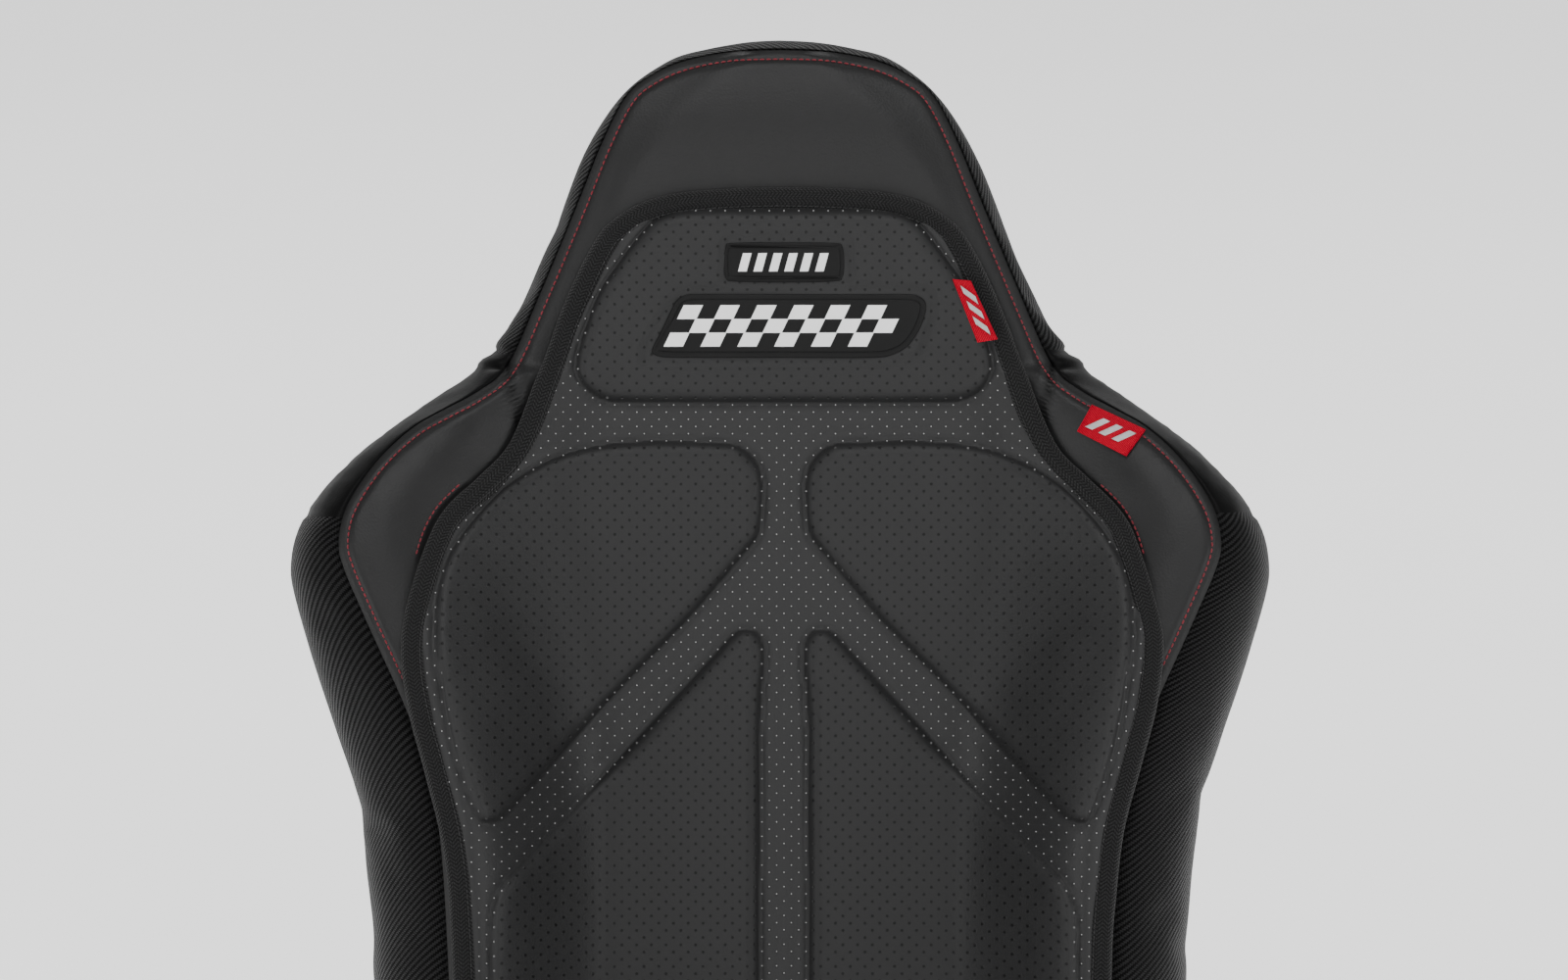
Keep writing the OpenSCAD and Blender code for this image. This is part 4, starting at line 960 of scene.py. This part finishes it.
def quilt(name, rows, half, columns, face, panels, shift=0.0, pressed=()):
    """Perforated leather over foam panels: crisp seams round each panel and flat channels between them."""
    reach = half(rows)
    share = np.linspace(-1, 1, 2 * columns + 1)[None, :]
    a = shift + share * reach[:, None]
    b = np.broadcast_to(rows[:, None], a.shape)
    p = np.stack([np.abs(a - shift), b], -1)
    depth = np.max([depth_inside(p, outline) for outline in panels], axis=0)
    h = PAD_FLOOR + rise(depth, 10.0, PAD_RISE) - 0.8 * bell(depth, 1.5)
    h = h + 0.5 * bell(depth + 6, 4.0)
    signed = np.stack([a - shift, b], -1)
    for outline, down in pressed:
        inner = depth_inside(signed, outline)
        h = h - down * smooth(inner / 3.0) * (depth > 0) - 0.7 * bell(inner, 1.2)
    ends = np.minimum(rows - rows[0], rows[-1] - rows)[:, None]
    edge = np.minimum(reach[:, None] * (1 - np.abs(share)), ends)
    h = h - 2.6 * np.exp(-edge / 3.0)
    where = np.stack([a, b, h], -1)
    near = np.exp(-np.clip(depth, 0, 99) / 14.0) * (depth > 0)
    h = h + ripple(where, 11.0, 7.0) * 0.5 * near + ripple(where, 50.0, 1.0) * 0.7
    free = smooth((depth - 5.0) / 10.0)
    for outline, _ in pressed:
        free = free * (1 - smooth((depth_inside(signed, outline) + 9) / 8))
    points = inflated(face(a, b, h), 1 - free, (3, 3), 0.0012, even=6)
    # The leather is painted darker round the foot of each panel: painted shade at the panel edges.
    marks = {"panel": smooth((depth - 0.5) / 2), "seam": 0.3 * bell(depth, 1.1)}
    obj = grid_object(name, points, [PERFORATED], signed, marks=marks)
    return obj


TAPE_PROFILE = [(1.4, 0.6), (0.2, 1.6), (-0.2, 3.2), (0.3, 5.4), (2.0, 7.4), (4.5, 8.4), (7.5, 8.7),
                (10.5, 8.4), (12.6, 7.6), (13.6, 6.6), (13.9, 5.2)]


def edge_tape(name, outline, face, seed):
    """Webbing folded over the pad's edge. The outline runs counter-clockwise."""
    path = resample(np.concatenate([outline, outline[:1]]), 3.0)[:-1]
    inward = inward_of(path)
    s = line_length(np.concatenate([path, path[:1]]))[:-1]
    prof = spline(TAPE_PROFILE, 3)
    wander = ripple(np.stack([path[:, 0], path[:, 1], 0 * s], -1), 26.0, seed)[:, None]
    at_edge = path[:, None, :] + inward[:, None, :] * (prof[:, 0] + 0.7 * wander)[..., None]
    h = prof[:, 1][None, :] + 0.5 * wander
    across = line_length(prof)
    points = face(at_edge[..., 0], at_edge[..., 1], h)
    points = np.concatenate([points, points[:1]])
    uv = together(np.append(s, s[-1] + 3.0)[:, None], across[None, :])
    obj = grid_object(name, points, [TAPE], uv, flip=True)
    weld(obj)
    return obj


def pad_base(u, v):
    """The pad bridges the foot of the bolsters instead of following it."""
    u = np.asarray(u, float)
    taps = ((-26, 1), (-13, 2), (0, 2), (13, 2), (26, 1))
    return np.maximum(sum(k * front_w(u + du, v) for du, k in taps) / 8.0, front_w(u, v) - 2.0)


def back_face(u, v, h):
    return back(u, v, pad_base(u, v) + h)


PAD_INNER = track([
    (94, 174), (101, 179), (122, 183), (230, 183), (290, 188.5), (350, 200), (390, 209),
    (430, 214), (460, 211), (490, 201), (510, 185), (530, 165), (550, 150), (570, 139),
    (609, 128), (663, 102), (678, 92), (687, 75), (694, 60)])
HEAD_PANEL = spline([
    (0, 689), (40, 689), (60, 688), (74, 684), (84, 676), (100, 655), (110, 640), (118, 620), (124, 600),
    (123, 589), (117, 580), (108, 575), (96, 573.5), (50, 573), (0, 573), (-40, 573),
    (-40, 689)], 4, closed=True)
PETAL = spline([
    (40, 549.5), (25, 546), (15, 535), (12.5, 519), (14.5, 497), (22, 485), (60, 441), (100, 400),
    (158, 336), (167, 327), (175, 324), (182, 329), (193, 360), (204, 410), (207, 445),
    (203, 473), (190, 497), (165, 524), (130, 543), (90, 550)], 4, closed=True)
LOWER_PANEL = spline([
    (14, 433), (21, 438), (31, 434), (52, 411), (100, 359), (150, 305), (166, 288), (173, 268),
    (173, 225), (171, 150), (166, 128), (154, 117), (130, 114), (60, 114), (30, 116), (18, 124),
    (15, 134), (14.5, 150), (14.5, 300), (14, 385), (11.5, 420)],
    4, closed=True)
SMALL_RECESS = spline([(-37, 660), (-33, 673), (0, 674), (36, 673), (40, 660), (38, 644), (0, 642),
(-35, 644)],
                      5, closed=True)
LARGE_RECESS = spline([(-66, 638), (-50, 643), (20, 644), (80, 643), (90, 634), (86, 616), (72, 598),
                       (0, 595), (-76, 595), (-86, 602), (-80, 618)], 5, closed=True)


def pad_reach(v):
    return at(PAD_INNER, v) + 2.5


pad_rows = np.concatenate([np.arange(95, 694, 1.75), [694.0]])
pad_back = quilt("pad_back_quilted", pad_rows, pad_reach, 118, back_face, [HEAD_PANEL, PETAL, LOWER_PANEL],
                 PAD_SHIFT, [(SMALL_RECESS, 1.6), (LARGE_RECESS, 1.8)])
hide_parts("pad_back_cover", "pad_back_lining", "pad_head_foam", "pad_shoulder_foams",
            "pad_lumbar_foams")
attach(pad_back, "backrest")
tape = edge_tape("pad_back_tape", PAD_EDGE, back_face, 2.0)
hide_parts("pad_back_binding")
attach(tape, "backrest")


def tape_stitches(name, outline, face, body):
    """Black stitches along the tape's inner edge."""
    path = resample(np.concatenate([outline, outline[:1]]), 3.0)[:-1]
    line = path + 11.2 * inward_of(path)
    p, n = along_face(np.concatenate([line, line[:1]]), face, 8.35)
    row = stitches(name, p, n, BLACK_THREAD, pitch=3.4, long=2.6, thick=0.3)
    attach(row, body)


tape_stitches("pad_back_tape_stitches", PAD_EDGE, back_face, "backrest")


# Badges: stepped rubber plates with plain speed bars
def badge_place(u, v, h):
    u = np.asarray(u, float) + PAD_SHIFT
    v = np.asarray(v, float)
    return back(u, v, pad_base(u, v) + h)


def closed(points, steps=6):
    return spline(points, steps, closed=True)


def slanted(u0, u1, v0, v1, lean):
    return [(u0, v0), (u1, v0), (u1 + lean, v1), (u0 + lean, v1)]


LARGE_OUTLINE = closed([
    (-79, 605), (-77.5, 602), (-73, 600.5), (-60, 600), (0, 600), (50, 600), (64, 601.5), (74, 607),
    (81, 617), (84.5, 627), (84.5, 633), (81, 636.5), (74, 638), (50, 638), (0, 638), (-48, 638),
    (-58, 637.5), (-63.5, 635), (-67, 629.5), (-73, 617)], 4)


def shrink(outline, d):
    return outline + d * np.sign(twice_area(outline)) * inward_of(outline)


SMALL_OUTLINE = closed([
    (-35, 648), (-30, 645.6), (0, 645), (30, 645.6), (35, 648), (36, 657), (35, 666), (30, 668.6),
    (0, 669), (-30, 668.6), (-35, 666), (-36, 657)])
for piece, outline, low, high, bevel, node_name in (
        ("badge_large_base", LARGE_OUTLINE, 10.5, 14.6, 0.7, "badge_large"),
        ("badge_large_step", shrink(LARGE_OUTLINE, 3.4), 14.0, 15.9, 0.6, ""),
        ("badge_small_base", SMALL_OUTLINE, 10.5, 14.4, 0.7, "badge_small"),
        ("badge_small_step", shrink(SMALL_OUTLINE, 2.4), 14.0, 15.5, 0.5, "")):
    o = plate(piece, outline, low, high, badge_place, [RUBBER_BADGE], bevel)
    if node_name:
        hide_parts(node_name)
    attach(o, "backrest")
marks = []
for row_no in range(3):
    low = 606.6 + row_no * 8.2
    for k in range(7 if row_no == 1 else 6):
        u0 = -72 + k * 22.0 + (11.0 if row_no == 1 else 0.0) + row_no * 4.0
        wide = 11.6 if u0 < 60 else 8.0
        if u0 + wide > 79:
            continue
        cell = slanted(u0, u0 + wide, low, low + 8.5, 4.1)
        name = f"badge_large_cell_{row_no}_{k}"
        marks.append(plate(name, cell, 15.6, 16.6, badge_place, [WHITE_RUBBER], 0.3))
for k in range(6):
    u0 = -27.5 + k * 9.2
    bar = slanted(u0, u0 + 5.2, 651.5, 662.5, 3.0)
    marks.append(plate(f"badge_small_bar_{k}", bar, 15.2, 16.1, badge_place, [WHITE_RUBBER], 0.3))
for o in marks:
    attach(o, "backrest")


# Woven labels, each a thin folded cloth with a plain stripe
def cloth_patch(name, corners, height, material, bow, node_name=None, count=(10, 14)):
    """Four-cornered cloth on the backrest: height(u, v) is how far it stands ahead of the hinge plane."""
    c = np.array(corners, float)
    s, t = np.meshgrid(np.linspace(0, 1, count[0]), np.linspace(0, 1, count[1]), indexing="ij")
    s, t = s[..., None], t[..., None]
    p = (1 - s) * (1 - t) * c[0] + s * (1 - t) * c[1] + s * t * c[2] + (1 - s) * t * c[3]
    crown = bow * (np.sin(s * math.pi) * np.sin(t * math.pi))[..., 0]
    w = height(p[..., 0], p[..., 1]) + crown
    size = (np.linalg.norm(c[1] - c[0]), np.linalg.norm(c[3] - c[0]))
    uv = np.concatenate([s * size[0], t * size[1]], -1)
    top, low = back(p[..., 0], p[..., 1], w), back(p[..., 0], p[..., 1], w - 1.0 + 0.35 * bow)
    obj = grid_object(name, np.concatenate([low[:1], top, low[-1:]]), [material],
                      np.concatenate([uv[:1], uv, uv[-1:]]))
    if node_name:
        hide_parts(node_name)
    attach(obj, "backrest")


def over_pad(h):
    return lambda u, v: pad_base(u, v) + h


def over_wing(h):
    return lambda u, v: cover_w(u, v, False) + h


PAD_LABEL = [(103, 647), (114, 646), (130, 611), (118, 609)]
cloth_patch("pad_label_cloth", PAD_LABEL, over_pad(14.6), RED_LABEL, 1.2, "pad_label")
cloth_patch("wing_label_cloth", WING_LABEL, over_wing(1.8), RED_LABEL, 1.0, "wing_label")
BAR_WIDE, BAR_SLANT = 0.13, 0.1
for name, corners, height in (
        ("wing_label", WING_LABEL, over_wing(3.1)),
        ("pad_label", PAD_LABEL[3:] + PAD_LABEL[:3], over_pad(16.2))):
    a, b, c, d = np.array(corners, float)
    for k, low in enumerate((0.18, 0.42, 0.66)):
        high = low + BAR_WIDE
        quad = [a + (b - a) * (at_share + lean) + (d - a) * down for at_share, lean, down in (
            (low, BAR_SLANT, 0.25), (high, BAR_SLANT, 0.25),
            (high, -BAR_SLANT, 0.75), (low, -BAR_SLANT, 0.75))]
        cloth_patch(f"{name}_bar_{k}", quad, height, WHITE_THREAD, 0.1, count=(4, 6))


# ------------------------------------------------------------------ cushion shape
def place(x, y, z):
    x, y, z = np.broadcast_arrays(np.asarray(x, float), y, z)
    return np.stack([x, y, z], -1) * 0.001


SEAT_SIDE = track([
    (-330, 196), (-322, 222), (-305, 238), (-270, 249), (-200, 255), (-60, 255), (30, 250), (60, 244),
    (80, 237), (92, 228), (104, 214), (128, 208)])
SEAT_CREASE = track([
    (-330, 180), (-318, 198), (-295, 210), (-240, 219), (-140, 223), (-20, 220), (60, 210), (104, 196),
    (128, 192)])
SEAT_MIDDLE = track([
    (-330, 158), (-325, 182), (-314, 203), (-290, 220), (-250, 228), (-150, 222), (0, 206), (100, 198),
    (128, 192)])
SEAT_CREST = track([
    (-330, 156), (-322, 188), (-308, 218), (-280, 246), (-230, 270), (-140, 284), (-50, 276), (50, 246),
    (104, 212), (128, 192)])
SEAT_VALLEY = track([(-330, 120), (-250, 128), (-100, 134), (60, 130), (128, 120)])


def top_z(x, y):
    edge, dip = at(SEAT_CREASE, y), at(SEAT_VALLEY, y)
    low, high = at(SEAT_MIDDLE, y), at(SEAT_CREST, y)
    return low + (high - low) * bolster((np.abs(x) - dip) / (edge - dip))


SEAT_PAD_EDGE = mirrored([
    (0, -318), (110, -318), (150, -317), (176, -311), (191, -299), (199, -272), (204, -200), (204, -100),
    (200, 0), (192, 70), (184, 94), (168, 103), (140, 106), (0, 106)])


def seat_cover_z(x, y):
    x, y = np.broadcast_arrays(np.asarray(x, float), np.asarray(y, float))
    line = np.concatenate([[[0, -331]], SEAT_CREASE[:, ::-1]])
    d = to_line(np.stack([np.abs(x), y], -1), line)
    z = top_z(x, y) - 3.6 * np.exp(-d / 6.0) - 0.8 * bell(d - 5.5, 1.3)
    return z + ripple(np.stack([x, y, z], -1), 55.0, 11.0)


def seat_face(x, y, h):
    return place(x, y, top_z(x, y) + h)


rows = np.concatenate([[-330, -329.2, -328, -326.4, -324.4, -322, -319, -315.5, -311.5, -307],
                       np.arange(-302, 126, 4.0), [126, 128]])
gaps = np.array([60, 50, 41, 34, 28, 23, 19, 15.5, 12.5, 10, 8, 6.6, 5.4, 4.2, 3, 1.8, 0.8, 0])
edge = at(SEAT_CREASE, rows)
flat_part = np.linspace(0, 1, 16)[None, :-1] * (edge[:, None] - gaps[0])
right = np.concatenate([flat_part, edge[:, None] - gaps], axis=1)
xs = np.concatenate([-right[:, :0:-1], right], axis=1)
ys = np.broadcast_to(rows[:, None], xs.shape)
plan = np.stack([xs, ys], -1)
points = place(xs, ys, seat_cover_z(xs, ys))
free = smooth((edge[:, None] - np.abs(xs) - 9) / 8) * smooth((ys + 321) / 8) * smooth((120 - ys) / 8)
free = free * smooth((-3 - depth_inside(plan, SEAT_PAD_EDGE)) / 6)
points = inflated(points, 1 - free, (2, 1), 0.004, slack=0.015)
# Painted shade in the crease round the cushion top.
seam = bell(edge[:, None] - np.abs(xs), 1.2)
seat_top = grid_object("cushion_top_leather", points, [LEATHER], plan, marks={"seam": seam})
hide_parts("cushion_top_cover", "cushion_foam")
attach(seat_top, "seat_base")

# Band round the cushion: carbon weave from the crease down to the skirt
SKIRT_Z, UNDER_Z = 52.0, 78.0  # lower edge of the band, and the lining under the foam


def band_column(x_crease, x_side, top):
    """How far one column of the band stands out of the crease, and its z, from the crease down."""
    a = np.radians([0, 3, 8, 16, 28, 42, 58, 74, 90])
    mid = top - 52
    reach = (x_side - x_crease) * np.sin(a)
    z = mid + (top - mid) * np.cos(a)
    low = np.array([0.2, 0.45, 0.7, 0.86, 0.95, 1.0])
    z = np.concatenate([z, mid - (mid - SKIRT_Z) * low])
    reach = np.concatenate([reach, (x_side - x_crease) - 2.0 * low + 1.4 * np.sin(low * math.pi)])
    reach[0] -= 1.0
    z[0] -= 2.4
    return reach, z


columns = []
side_rows = np.concatenate([np.arange(122, -290, -6.0), [-296, -304, -311, -317]])
for y in side_rows:
    xc, top, side = at(SEAT_CREASE, y), at(SEAT_CREST, y), at(SEAT_SIDE, y)
    r, z = band_column(xc, side, top)
    columns.append(np.stack([xc + r, 0 * r + y, z], -1))
for x in np.concatenate([[186, 176], np.arange(160, 0, -20.0), [0]]):
    top = float(top_z(x, -330.0))
    r, z = band_column(0, 0.5, top)
    t = (top - z) / (top - SKIRT_Z)
    columns.append(np.stack([0 * r + x, -330.4 - 4.6 * np.sin(np.clip(t, 0, 1) * math.pi) ** 0.8, z], -1))
half = np.array(columns)
whole = np.concatenate([half, half[-2::-1] * [-1, 1, 1]])
for _ in range(5):
    turn = np.zeros(len(whole))
    n_side = len(side_rows)
    turn[n_side - 7:n_side + 5] = 1
    turn = np.maximum(turn, turn[::-1])[:, None, None]
    mean = whole.copy()
    mean[1:-1] = (whole[:-2] + 2 * whole[1:-1] + whole[2:]) / 4
    whole = np.where(turn > 0, mean, whole)
seat_noise = ripple(whole, 50.0, 6.0)
away = whole.copy()
away[..., 2] = 0
away /= np.maximum(np.linalg.norm(away, axis=2, keepdims=True), 1e-9)
fade = smooth(np.arange(whole.shape[1]) / 3.0)[None, :, None]
whole = whole + away * seat_noise[..., None] * 1.2 * fade
s_run = line_length(whole[:, 8])[:, None]
across = run_down(whole)
share_down = np.arange(whole.shape[1])[None, :] / (whole.shape[1] - 1)
ends = np.minimum(np.arange(len(whole)), np.arange(len(whole))[::-1])[:, None]
free = smooth((share_down - 0.12) / 0.2) * smooth((1 - share_down) / 0.25) * smooth(ends / 4)
whole = inflated(whole * 0.001, 1 - free, (1, 1), 0.004, slack=0.015, flip=True) * 1000
seat_band = grid_object("cushion_side_vinyl", whole * 0.001, [CARBON], together(s_run, across), flip=True)
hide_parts("cushion_side_band")
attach(seat_band, "seat_base")
hem = tube("cushion_skirt_piping", whole[:, -1] * 0.001, 0.0022, LEATHER, up=(0, 0, 1))
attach(hem, "seat_base")


def seat_cover_face(x, y, h):
    return place(x, y, seat_cover_z(x, y) + h)


line = SEAT_CREASE[:, ::-1]
line = inset_line(resample(line[line[:, 1] < 120], 3.0), COVER_STITCH)
line = line[line[:, 1] > -322]
nose_x = np.arange(1 - line[0, 0], line[0, 0], 3.0)
nose = np.stack([nose_x, np.full(len(nose_x), -325.5)], 1)
line = np.concatenate([(line * [-1, 1])[::-1], nose, line])
red_stitches("topstitch_red_cushion", line, seat_cover_face, "seat_base")

# Rear end and underside of the cushion
x_end, t_end = np.linspace(-1, 1, 41)[:, None], np.linspace(0, 1, 15)[None, :]
z_end = UNDER_Z + (191.0 - UNDER_Z) * t_end + 0 * x_end
half_end = 192 + 12 * np.sin(t_end * math.pi)
bow = 3.0 * np.sin(t_end * math.pi) * (1 - x_end ** 6)
end = grid_object("cushion_rear_lining", place(x_end * half_end, 125.5 + bow, z_end), [LINING],
                  np.stack([x_end * half_end, z_end], -1))
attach(end, "seat_base")
ys = np.linspace(-326, 126, 60)
us = np.linspace(-1, 1, 41)[None, :]
wide = (at(SEAT_SIDE, ys) - 5)[:, None] * us
low = UNDER_Z + 0.8 * ripple(together(wide, ys[:, None], 0 * wide), 60.0, 8.0)
low = low + 2.5 * np.abs(us) ** 8
lining = grid_object("cushion_under_lining", place(wide, ys[:, None], low), [LINING],
                     together(wide, ys[:, None]), flip=True)
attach(lining, "seat_base")

# Seat half of the pad
SEAT_PAD_INNER = track([(-313, 152), (-307, 172), (-298, 181), (-272, 186), (-200, 190), (-100, 190),
                        (0, 186), (70, 178), (92, 170), (98, 160), (101, 140)])
THIGH_PANEL = spline([
    (20, -262), (34, -270), (80, -273), (128, -270), (150, -260), (160, -238), (165, -200), (164, -160),
    (157, -120), (146, -102), (128, -94), (100, -84), (74, -74), (48, -62), (30, -53), (20, -53),
    (14.5, -64), (14, -120), (14, -200), (15, -250)], 4, closed=True)
HIP_PANEL = spline([
    (118, -56), (132, -54), (147, -40), (155, -10), (158, 30), (156, 66), (146, 83), (118, 90), (46, 90),
    (24, 86), (16, 72), (14.5, 30), (16, 0), (24, -14), (44, -24), (72, -37), (96, -47)], 4, closed=True)
seat_rows = np.concatenate([np.arange(-313, 100.5, 1.9), [101.0]])
pad_seat = quilt("pad_seat_quilted", seat_rows, lambda y: at(SEAT_PAD_INNER, y) + 2.5, 92, seat_face,
                 [THIGH_PANEL, HIP_PANEL])
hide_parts("pad_seat_cover", "pad_seat_lining", "pad_hip_foams", "pad_thigh_foams")
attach(pad_seat, "seat_base")
tape = edge_tape("pad_seat_tape", SEAT_PAD_EDGE, seat_face, 5.0)
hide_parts("pad_seat_binding")
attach(tape, "seat_base")
tape_stitches("pad_seat_tape_stitches", SEAT_PAD_EDGE, seat_face, "seat_base")

# Slack tongue that joins the pad's halves down in the fold
run = spline([(100, 203.0), (114, 201.8), (126, 198), (135, 187), (140, 170), (147, 158), (154, 168),
              (159, 190), (163, 212), (168, 232), (173, 250)], 5)
run = resample(run, 4.0)
run_y, run_z = run[:, 0][:, None], run[:, 1][:, None]
tongue_x = np.broadcast_to(np.linspace(-110, 110, 45)[None, :], (len(run), 45))
tongue = place(tongue_x, run_y, run_z)
sag = ripple(together(tongue_x, run_y, run_z), 40.0, 12.0)
tongue[..., 2] += 0.0012 * sag * np.sin(np.linspace(0, math.pi, len(run)))[:, None]
tongue_uv = together(tongue_x, line_length(run)[:, None])
strip = grid_object("pad_hinge_cloth", tongue, [LINING], tongue_uv, flip=True)
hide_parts("pad_hinge_strip")
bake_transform(strip)
float(line_length(run)[-1]) * 0.001


# ------------------------------------------------------------------ webbing under the foam
def strap(name, start, finish, width, across, sag, body, to_row=place):
    t = np.linspace(0, 1, 25)[:, None]
    a, b = np.array(start, float), np.array(finish, float)
    mid = a + (b - a) * t
    side = np.array(across, float)
    up = unit(np.cross(b - a, side))
    flip = up[2] >= 0
    if not flip:
        up = -up
    mid = mid - up * (sag * np.sin(t * math.pi))
    cut = np.array([(-0.5, -0.4), (-0.5, 0.4), (-0.44, 0.9), (0, 1.0), (0.44, 0.9), (0.5, 0.4), (0.5, -0.4),
                    (0.44, -0.9), (0, -1.0), (-0.44, -0.9)])
    pts = mid[:, None, :] + cut[None, :, :1] * width * side + cut[None, :, 1:] * 0.9 * up
    length = np.linalg.norm(b - a) * t
    uv = together(length, np.linspace(0, 2 * width, 10)[None, :])
    pts = to_row(pts[..., 0], pts[..., 1], pts[..., 2])
    obj = grid_object(name, pts, [STRAP], uv, loop_j=True, flip=flip)
    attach(obj, body)
    return obj


first = None
for k, x in enumerate((-150, -50, 50, 150)):
    o = strap(f"cushion_strap_long_{k}", (x, -285, 68.2), (x, 112, 68.2), 44, (1, 0, 0), 1.0, "seat_base")
    first = first or o
for k, y in enumerate((-200, -90, 20)):
    strap(f"cushion_strap_cross_{k}", (-215, y, 70.6), (215, y, 70.6), 44, (0, 1, 0), 1.0, "seat_base")
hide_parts("cushion_webbing")


def in_back(x, y, z):
    return back(x, z, -np.asarray(y))


first = None
for k, (z, r) in enumerate(((190, 200), (255, 201), (395, 222), (460, 226))):
    o = strap(f"backrest_strap_{k}", (-r, -12.6, z), (r, -12.6, z), 40, (0, 0, 1), 0.0, "backrest", in_back)
    first = first or o
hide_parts("backrest_webbing")

# ------------------------------------------------------------------ moulded hinge covers
HINGE_COVER = spline([
    (92, 46), (160, 42), (232, 46), (250, 80), (252, 130), (243, 172), (214, 198), (178, 196), (146, 176),
    (122, 144), (104, 104), (86, 74)], 8, closed=True)
for side, label in ((1, "left"), (-1, "right")):
    def beside(a, b, h, side=side):
        return place(side * (224.0 + h), a, b)

    shell = plate(f"hinge_cover_shell_{label}", HINGE_COVER, 0, 37, beside, [PLASTIC], 6.5, 6, side < 0)
    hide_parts(f"hinge_cover_{label}")
    raised = shrink(HINGE_COVER, 11.0)
    panel = plate(f"hinge_cover_panel_{label}", raised, 36, 38.0, beside, [PLASTIC], 1.2, 3, side < 0)
    for o in (shell, panel):
        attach(o, "seat_base")


# ------------------------------------------------------------------ studio
def studio():
    """Wide pale floor, a little bright of its own like a lit table."""
    x = np.linspace(-14, 14, 29)
    pts = together(x[None, :], x[:, None], -0.0005)
    p = Paint("studio_paper", (0.86, 0.86, 0.86), 0.9, specular=0.1)
    soft = p.noise(3.0, 3.0)
    shade = p.mix(soft, (0.84, 0.84, 0.84), (0.88, 0.88, 0.88))
    p.feed(p.shader.inputs["Emission Color"], shade)
    p.shader.inputs["Emission Strength"].default_value = 1.15
    p.finish(shade, None, p.bump(p.noise(900.0), 0.0001, 0.2))
    floor = grid_object("studio_floor", pts, [p.material], pts[..., :2] * 1000, flip=True)
    floor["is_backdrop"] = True


def softbox(name, where, target, size, power):
    light = bpy.data.lights.new(name, "AREA")
    light.shape = "RECTANGLE"
    light.size, light.size_y = size
    light.energy = power
    obj = bpy.data.objects.new(name, light)
    bpy.context.scene.collection.objects.link(obj)
    obj.location = where
    obj.rotation_euler = (Vector(target) - Vector(where)).to_track_quat("-Z", "Y").to_euler()


studio()
middle = (0, 0.3, 0.6)
softbox("front", (0.0, -4.2, 2.0), middle, (3.0, 1.8), 58)
softbox("top", (0.0, -0.8, 3.2), middle, (2.0, 1.2), 36)
softbox("side_left", (-2.6, -1.1, 1.2), middle, (0.9, 1.8), 24)
softbox("side_right", (2.6, -1.1, 1.2), middle, (0.9, 1.8), 24)
softbox("behind", (0, 2.8, 2.0), (0, 0.4, 0.6), (2.6, 1.2), 30)

world = bpy.data.worlds.new("studio_world")
world.use_nodes = True
world.node_tree.nodes["Background"].inputs["Color"].default_value = (1, 1, 1, 1)
world.node_tree.nodes["Background"].inputs["Strength"].default_value = 0.38
bpy.context.scene.world = world

camera_data = bpy.data.cameras.new("camera")
camera = bpy.data.objects.new("camera", camera_data)
bpy.context.scene.collection.objects.link(camera)
aim = Vector([float(c) for c in back(2.4, 521.0, 32.0)])
out = Vector((0, -COS, SIN))
DISTANCE, VIEW_WIDE = 8.0, 0.941  # metres to the seat, and metres across the picture there
camera.location = aim + out * DISTANCE
camera.rotation_euler = (-out).to_track_quat("-Z", "Y").to_euler()
camera_data.sensor_width = 36
camera_data.lens = camera_data.sensor_width * DISTANCE / VIEW_WIDE
camera_data.clip_end = 30
bpy.context.scene.camera = camera

made_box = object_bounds()


def plain(value):
    if hasattr(value, "__len__"):
        return [plain(v) for v in value]
    return float(value)


{"cad": plain(cad_box), "built": plain(made_box)}
